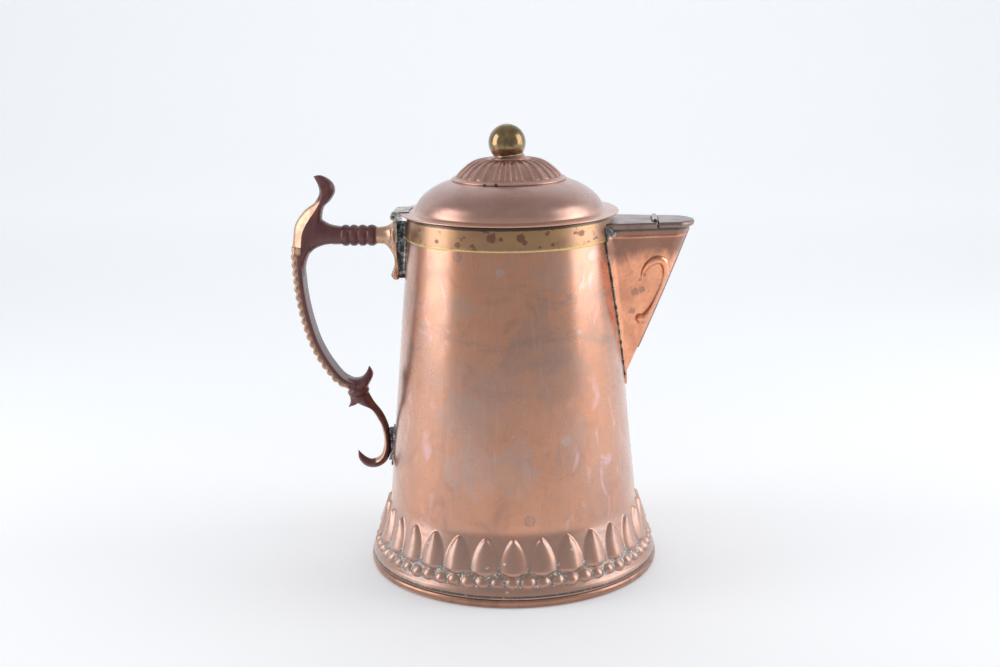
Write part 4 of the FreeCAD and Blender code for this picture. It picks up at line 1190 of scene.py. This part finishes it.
def collar_finish():
    f = Finish("collar_brass_aged", Metallic=1.0, Coat_Weight=0.6, Coat_Roughness=0.28)
    clouds = f.noise(16.0, 3.0, (1, 1, 2.0), 6.5, 0.6, 0.5)
    colour = f.mix(f.step(clouds, 0.40, 0.60), (0.46, 0.25, 0.15), (0.48, 0.28, 0.13))
    fine = f.noise(2.4, 4.0, seed=7.5, rough=0.65)
    colour = f.mix(f.step(fine, 0.46, 0.74, 0.0, 0.45), colour, (0.42, 0.26, 0.17))
    blot = f.noise(5.5, 3.0, seed=8.5, warp=0.5)
    area = f.noise(24.0, 1.0, seed=9.5)
    stain = f.times(f.step(blot, 0.60, 0.63), f.step(area, 0.46, 0.54))
    for x, z, radius in ((-7.0, 234.6, 3.7), (-1.2, 234.2, 1.6), (11.0, 234.6, 3.2),
                         (13.6, 231.8, 2.0), (-29.0, 229.5, 2.3), (31.0, 229.6, 1.5),
                         (49.0, 234.6, 2.2), (44.6, 235.4, 1.1), (-43.0, 230.6, 1.6)):
        stain = f.math("MAXIMUM", stain, f.spot(x, z, radius, 0.55))
    colour = f.mix(f.times(stain, 0.85), colour, (0.20, 0.08, 0.055))
    # Painted shade: a dark ragged band along the collar's top, where it sits under the lid's flange.
    gap = f.step(f.plus(f.z, f.times(fine, 0.8)), 239.0, 239.8)
    colour = f.mix(f.times(gap, 0.9), colour, (0.05, 0.04, 0.03))
    # Golden line just above the collar's bottom edge: partly worn brass, partly a painted highlight along
    # that edge.
    worn = f.step(f.plus(f.z, f.times(fine, 1.6)), 227.9, 227.2)
    colour = f.mix(f.times(worn, 0.85), colour, (0.74, 0.56, 0.22))
    roughness = f.plus(f.step(clouds, 0.3, 0.7, 0.28, 0.38), f.times(stain, 0.15))
    return f.done(colour, roughness, f.bump(fine, 0.05), 1.0)


def handle_finish():
    f = Finish("handle_bronze_worn", Coat_Weight=0.4, Coat_Roughness=0.22)
    clouds = f.noise(11.0, 4.0, seed=1.2, rough=0.6)
    fine = f.noise(1.5, 4.0, seed=2.2, rough=0.65)
    dark = f.mix(f.step(clouds, 0.36, 0.66), (0.115, 0.034, 0.034), (0.16, 0.053, 0.046))
    gold = f.mix(f.step(clouds, 0.38, 0.66), (0.66, 0.42, 0.28), (0.54, 0.31, 0.21))
    gold = f.mix(f.step(fine, 0.52, 0.74, 0.0, 0.5), gold, (0.36, 0.20, 0.14))
    edge = f.plus(f.mask(GOLD_MASK), f.times(f.math("SUBTRACT", clouds, 0.5), 0.5))
    wear = f.step(edge, 0.25, 0.75)
    colour = f.mix(wear, dark, gold)
    place = f.node("ShaderNodeVectorMath", "DISTANCE", output=1, i0=f.place,
                   i1=(-108.6, -6.0, 219.6))
    colour = f.mix(f.step(place, 1.5, 0.6), colour, (0.10, 0.34, 0.26))
    roughness = f.plus(f.step(clouds, 0.3, 0.7, 0.30, 0.40), f.step(fine, 0.5, 0.8, 0.0, 0.12))
    return f.done(colour, roughness, f.bump(fine, 0.08), f.step(wear, 0.0, 1.0, 0.25, 1.0))


def spout_finish():
    f = Finish("spout_copper_aged", Metallic=1.0, Coat_Weight=0.5, Coat_Roughness=0.26)
    clouds = f.noise(17.0, 4.0, (1, 1, 0.7), 3.2, 0.6, 0.6)
    fine = f.noise(2.6, 4.0, seed=4.2, rough=0.65)
    colour = f.mix(f.step(clouds, 0.40, 0.66), (0.95, 0.42, 0.235), (0.74, 0.315, 0.185))
    height = f.plus(f.z, f.times(clouds, 26.0))
    top = f.times(f.step(height, 220.0, 232.0), f.step(f.math(
        "ABSOLUTE", f.math("SUBTRACT", f.z, 226.8)), 0.4, 1.0, 0.45, 1.0))
    colour = f.mix(f.times(top, 0.9), colour, (0.25, 0.125, 0.092))
    colour = f.mix(f.step(fine, 0.50, 0.74, 0.0, 0.4), colour, (0.42, 0.22, 0.16))
    for x, z, radius in ((84.0, 189.0, 3.2), (88.5, 190.5, 2.6), (87.0, 197.5, 1.6),
                         (90.0, 201.0, 1.5), (82.0, 176.0, 2.4), (97.0, 168.0, 2.2)):
        colour = f.mix(f.times(f.spot(x, z, radius, 0.6), 0.55), colour, (0.24, 0.15, 0.13))
    crust = f.noise(1.5, 4.0, seed=5.2, rough=0.65)
    # Dark brown in the ring round the raised ornament: partly grime, partly painted shade along its edges.
    grime = f.times(f.mask(CREVICE_MASK), f.step(crust, 0.40, 0.56))
    colour = f.mix(f.times(grime, 0.8), colour, (0.20, 0.13, 0.11))
    chalk = f.times(f.mask(CREVICE_MASK), f.step(crust, 0.60, 0.66))
    colour = f.mix(chalk, colour, (0.62, 0.60, 0.56))
    under = f.step(f.plus(f.z, f.times(crust, 2.4)), 231.6, 232.8)
    colour = f.mix(f.times(under, 0.9), colour, (0.055, 0.075, 0.06))
    roughness = f.plus(f.step(clouds, 0.3, 0.7, 0.24, 0.34), f.times(under, 0.3))
    return f.done(colour, roughness, f.bump(fine, 0.05), f.step(under, 0.0, 1.0, 1.0, 0.3))


def solder_finish(name, light, dark, seed):
    f = Finish(name)
    clouds = f.noise(3.2, 4.0, seed=seed, rough=0.65)
    colour = f.mix(f.step(clouds, 0.44, 0.60), dark, light)
    green = f.noise(6.0, 3.0, seed=seed + 1)
    colour = f.mix(f.step(green, 0.60, 0.68, 0.0, 0.5), colour, (0.14, 0.20, 0.16))
    fine = f.noise(0.9, 3.0, seed=seed + 2)
    return f.done(colour, f.step(clouds, 0.4, 0.7, 0.55, 0.38), f.bump(fine, 0.2),
                  f.step(clouds, 0.4, 0.6, 0.35, 0.85))


# ---------------------------------------------------------------- the pot
solder_grey = solder_finish("solder_grey", (0.62, 0.63, 0.66), (0.15, 0.15, 0.145), 1.0)
solder_dark = solder_finish("solder_dark", (0.40, 0.40, 0.39), (0.05, 0.055, 0.05), 4.0)
solder_black = solder_finish("solder_black", (0.26, 0.26, 0.27), (0.03, 0.033, 0.03), 9.0)
solder_bright = solder_finish("solder_bright", (0.80, 0.82, 0.87), (0.42, 0.43, 0.46), 7.0)
cover_finish = copper("cover_copper_brown", ((0.30, 0.21, 0.185), (0.25, 0.155, 0.13),
                                             (0.16, 0.085, 0.065)), 0.32, 0.2, 0.6, 3.0, 0.05)
foot_finish = copper("foot_copper_brown", ((0.48, 0.25, 0.17), (0.40, 0.205, 0.145),
                                           (0.20, 0.105, 0.08)), 0.30, 0.2, 0.7, 5.0, 0.06)
inner_finish = copper("inner_copper", ((0.52, 0.33, 0.26), (0.42, 0.27, 0.21),
                                       (0.22, 0.15, 0.12)), 0.40, 1.0, 0.8, 7.0, 0.08)
strip_finish = copper("strip_copper", ((0.80, 0.48, 0.36), (0.66, 0.38, 0.27),
                                       (0.34, 0.19, 0.15)), 0.30, 0.3, 0.5, 8.0, 0.04)
neck_finish = copper("neck_copper", ((0.56, 0.29, 0.19), (0.46, 0.24, 0.16),
                                     (0.22, 0.12, 0.10)), 0.35, 0.0, 0.3, 9.0, 0.03)
ball_finish = metal("ball_brass_dull", (0.34, 0.225, 0.105), (0.18, 0.115, 0.055), 0.2, 7.0, 1.0,
                    0.02)
hinge_finish = metal("hinge_brass_grey", (0.50, 0.46, 0.41), (0.24, 0.19, 0.16), 0.36, 3.5,
                     3.0, 0.08)
pin_finish = metal("pin_steel_dark", (0.10, 0.10, 0.10), (0.035, 0.035, 0.035), 0.5, 2.0, 5.0,
                   0.06, 0.6)
wire_finish = metal("foot_iron_rusty", (0.22, 0.19, 0.17), (0.10, 0.08, 0.07), 0.6, 3.0, 6.0,
                    0.1, 0.8, (0.24, 0.10, 0.045))

make_body(body_finish())
make_dome(lid_finish())
make_crown(crown_finish())
make_finial(ball_finish, neck_finish, solder_bright)
make_collar(collar_finish())
make_foot(foot_finish)
make_handle(handle_finish())
make_spout(spout_finish())
make_plate(cover_finish)
make_flap(cover_finish)
make_solder(solder_dark, solder_grey)
make_handle_solder(solder_grey)

# CAD nodes that stay in view, with the finish each one gets.
KEPT = {
    "base_disc": inner_finish, "lid_bezel": inner_finish, "foot_wire": wire_finish,
    "finial_stud": ball_finish, "finial_nut": ball_finish, "lid_hinge_leaf": hinge_finish,
    "lid_hinge_bracket": hinge_finish, "lid_hinge_pin": pin_finish,
    "handle_solder_upper": solder_black, "handle_solder_lower": solder_black,
    "spout_front_strip": strip_finish, "spout_hinge_leaf": hinge_finish,
    "spout_hinge_bracket_left": hinge_finish, "spout_hinge_bracket_right": hinge_finish,
    "spout_hinge_pin": pin_finish,
}
for node, finish in KEPT.items():
    for index in range(len(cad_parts[node].material_slots)):
        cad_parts[node].material_slots[index].material = finish


# ---------------------------------------------------------------- studio
def ramp(tree, value, span, kind="SMOOTHSTEP"):
    """Change over a span, given as (from low, from high, to low, to high)."""
    node = tree.nodes.new("ShaderNodeMapRange")
    node.interpolation_type = kind
    tree.links.new(value, node.inputs[0])
    for index, number in enumerate(span, 1):
        node.inputs[index].default_value = number
    return node.outputs[0]


def make_sweep():
    """Floor that curves up into a backdrop behind the pot."""
    bend, start, top = 0.9, 1.7, 3.4
    turn = np.linspace(0, math.pi / 2, 24)
    line = [(-5.0, 0.0), (-1.0, 0.0), (0.0, 0.0), (1.0, 0.0)]
    line += [(start + bend * math.sin(t), bend * (1 - math.cos(t))) for t in turn]
    line.append((start + bend, top))
    points = [[(x, y, z) for y, z in line] for x in np.linspace(-5.0, 5.0, 9)]
    obj = add_mesh("studio_sweep", np.array(points) / MM, quads(9, len(line)), False)
    paper = bpy.data.materials.new("studio_paper")
    paper.use_nodes = True
    tree = paper.node_tree
    shader = tree.nodes["Principled BSDF"]
    shader.inputs["Roughness"].default_value = 0.85
    shader.inputs["Specular IOR Level"].default_value = 0.1
    shader.inputs["Emission Color"].default_value = (0.84, 0.91, 1.0, 1.0)
    place = tree.nodes.new("ShaderNodeTexCoord")
    split = tree.nodes.new("ShaderNodeSeparateXYZ")
    tree.links.new(place.outputs["Object"], split.inputs[0])
    glow = ramp(tree, split.outputs["Y"], (-0.1, 2.3, 0.17, 0.35), "LINEAR")
    paleness = ramp(tree, split.outputs["Y"], (-1.3, -0.45, 0.62, 0.91))
    tree.links.new(paleness, shader.inputs["Base Color"])
    tree.links.new(glow, shader.inputs["Emission Strength"])
    obj.data.materials.append(paper)


def area_light(name, at, toward, width, height, radiance):
    """Softbox that the camera doesn't see, with its brightness as radiance."""
    data = bpy.data.lights.new(name, "AREA")
    data.shape = "RECTANGLE"
    data.size, data.size_y = width, height
    data.energy = radiance * math.pi * width * height
    lamp = bpy.data.objects.new(name, data)
    bpy.context.scene.collection.objects.link(lamp)
    lamp.location = at
    lamp.rotation_mode = "QUATERNION"
    lamp.rotation_quaternion = (Vector(toward) - Vector(at)).to_track_quat("-Z", "Y")
    lamp.visible_camera = False
    return lamp


def make_world():
    """Room that is darker in front than behind, and evenly pale to the camera."""
    world = bpy.data.worlds.new("studio_room")
    bpy.context.scene.world = world
    world.use_nodes = True
    tree = world.node_tree
    back = tree.nodes["Background"]
    place = tree.nodes.new("ShaderNodeTexCoord")
    split = tree.nodes.new("ShaderNodeSeparateXYZ")
    tree.links.new(place.outputs["Generated"], split.inputs[0])
    light = ramp(tree, split.outputs["Y"], (0.3, 0.85, ROOM_FRONT, ROOM_BACK))
    seen = tree.nodes.new("ShaderNodeLightPath")
    pale = tree.nodes.new("ShaderNodeMix")
    tree.links.new(seen.outputs["Is Camera Ray"], pale.inputs[0])
    tree.links.new(light, pale.inputs[2])
    pale.inputs[3].default_value = ROOM_SEEN
    back.inputs["Color"].default_value = (0.97, 0.98, 1.0, 1.0)
    tree.links.new(pale.outputs[0], back.inputs["Strength"])


# Light of the room before and behind the pot, and how pale it looks to the camera.
ROOM_FRONT, ROOM_BACK, ROOM_SEEN = 0.45, 0.95, 0.82
make_sweep()
make_world()
area_light("softbox_left", (-1.03, -0.19, 0.61), (0, 0, 0.61), 0.60, 1.04, 2.5)
area_light("softbox_right", (1.05, 0.03, 0.61), (0, 0, 0.61), 0.70, 1.04, 2.4)
area_light("overhead", (0.1, 0.6, 2.6), (0, 0.4, 0.0), 2.4, 2.4, 0.6).visible_glossy = False

view = bpy.context.scene.view_settings
view.view_transform = "Standard"
view.look = "None"


def make_camera():
    """Camera at the height and distance that give the pot its perspective."""
    data = bpy.data.cameras.new("camera")
    data.lens, data.sensor_width = 50.83, 36.0
    data.clip_start, data.clip_end = 0.05, 50.0
    camera = bpy.data.objects.new("camera", data)
    bpy.context.scene.collection.objects.link(camera)
    place = (0.058, -0.936, 0.3776)
    pitch, roll, yaw = 0.23005, math.radians(0.85), math.radians(4.0)
    right, up = Vector((1, 0, 0)), Vector((0, math.sin(pitch), math.cos(pitch)))
    forward = Vector((0, math.cos(pitch), -math.sin(pitch)))
    rolled = right * math.cos(roll) - up * math.sin(roll)
    rolled_up = up * math.cos(roll) + right * math.sin(roll)
    turn = Matrix.Rotation(yaw, 3, "Z")
    axes = Matrix((turn @ rolled, turn @ rolled_up, turn @ -forward)).transposed()
    camera.matrix_world = Matrix.Translation(place) @ axes.to_4x4()
    bpy.context.scene.camera = camera


make_camera()
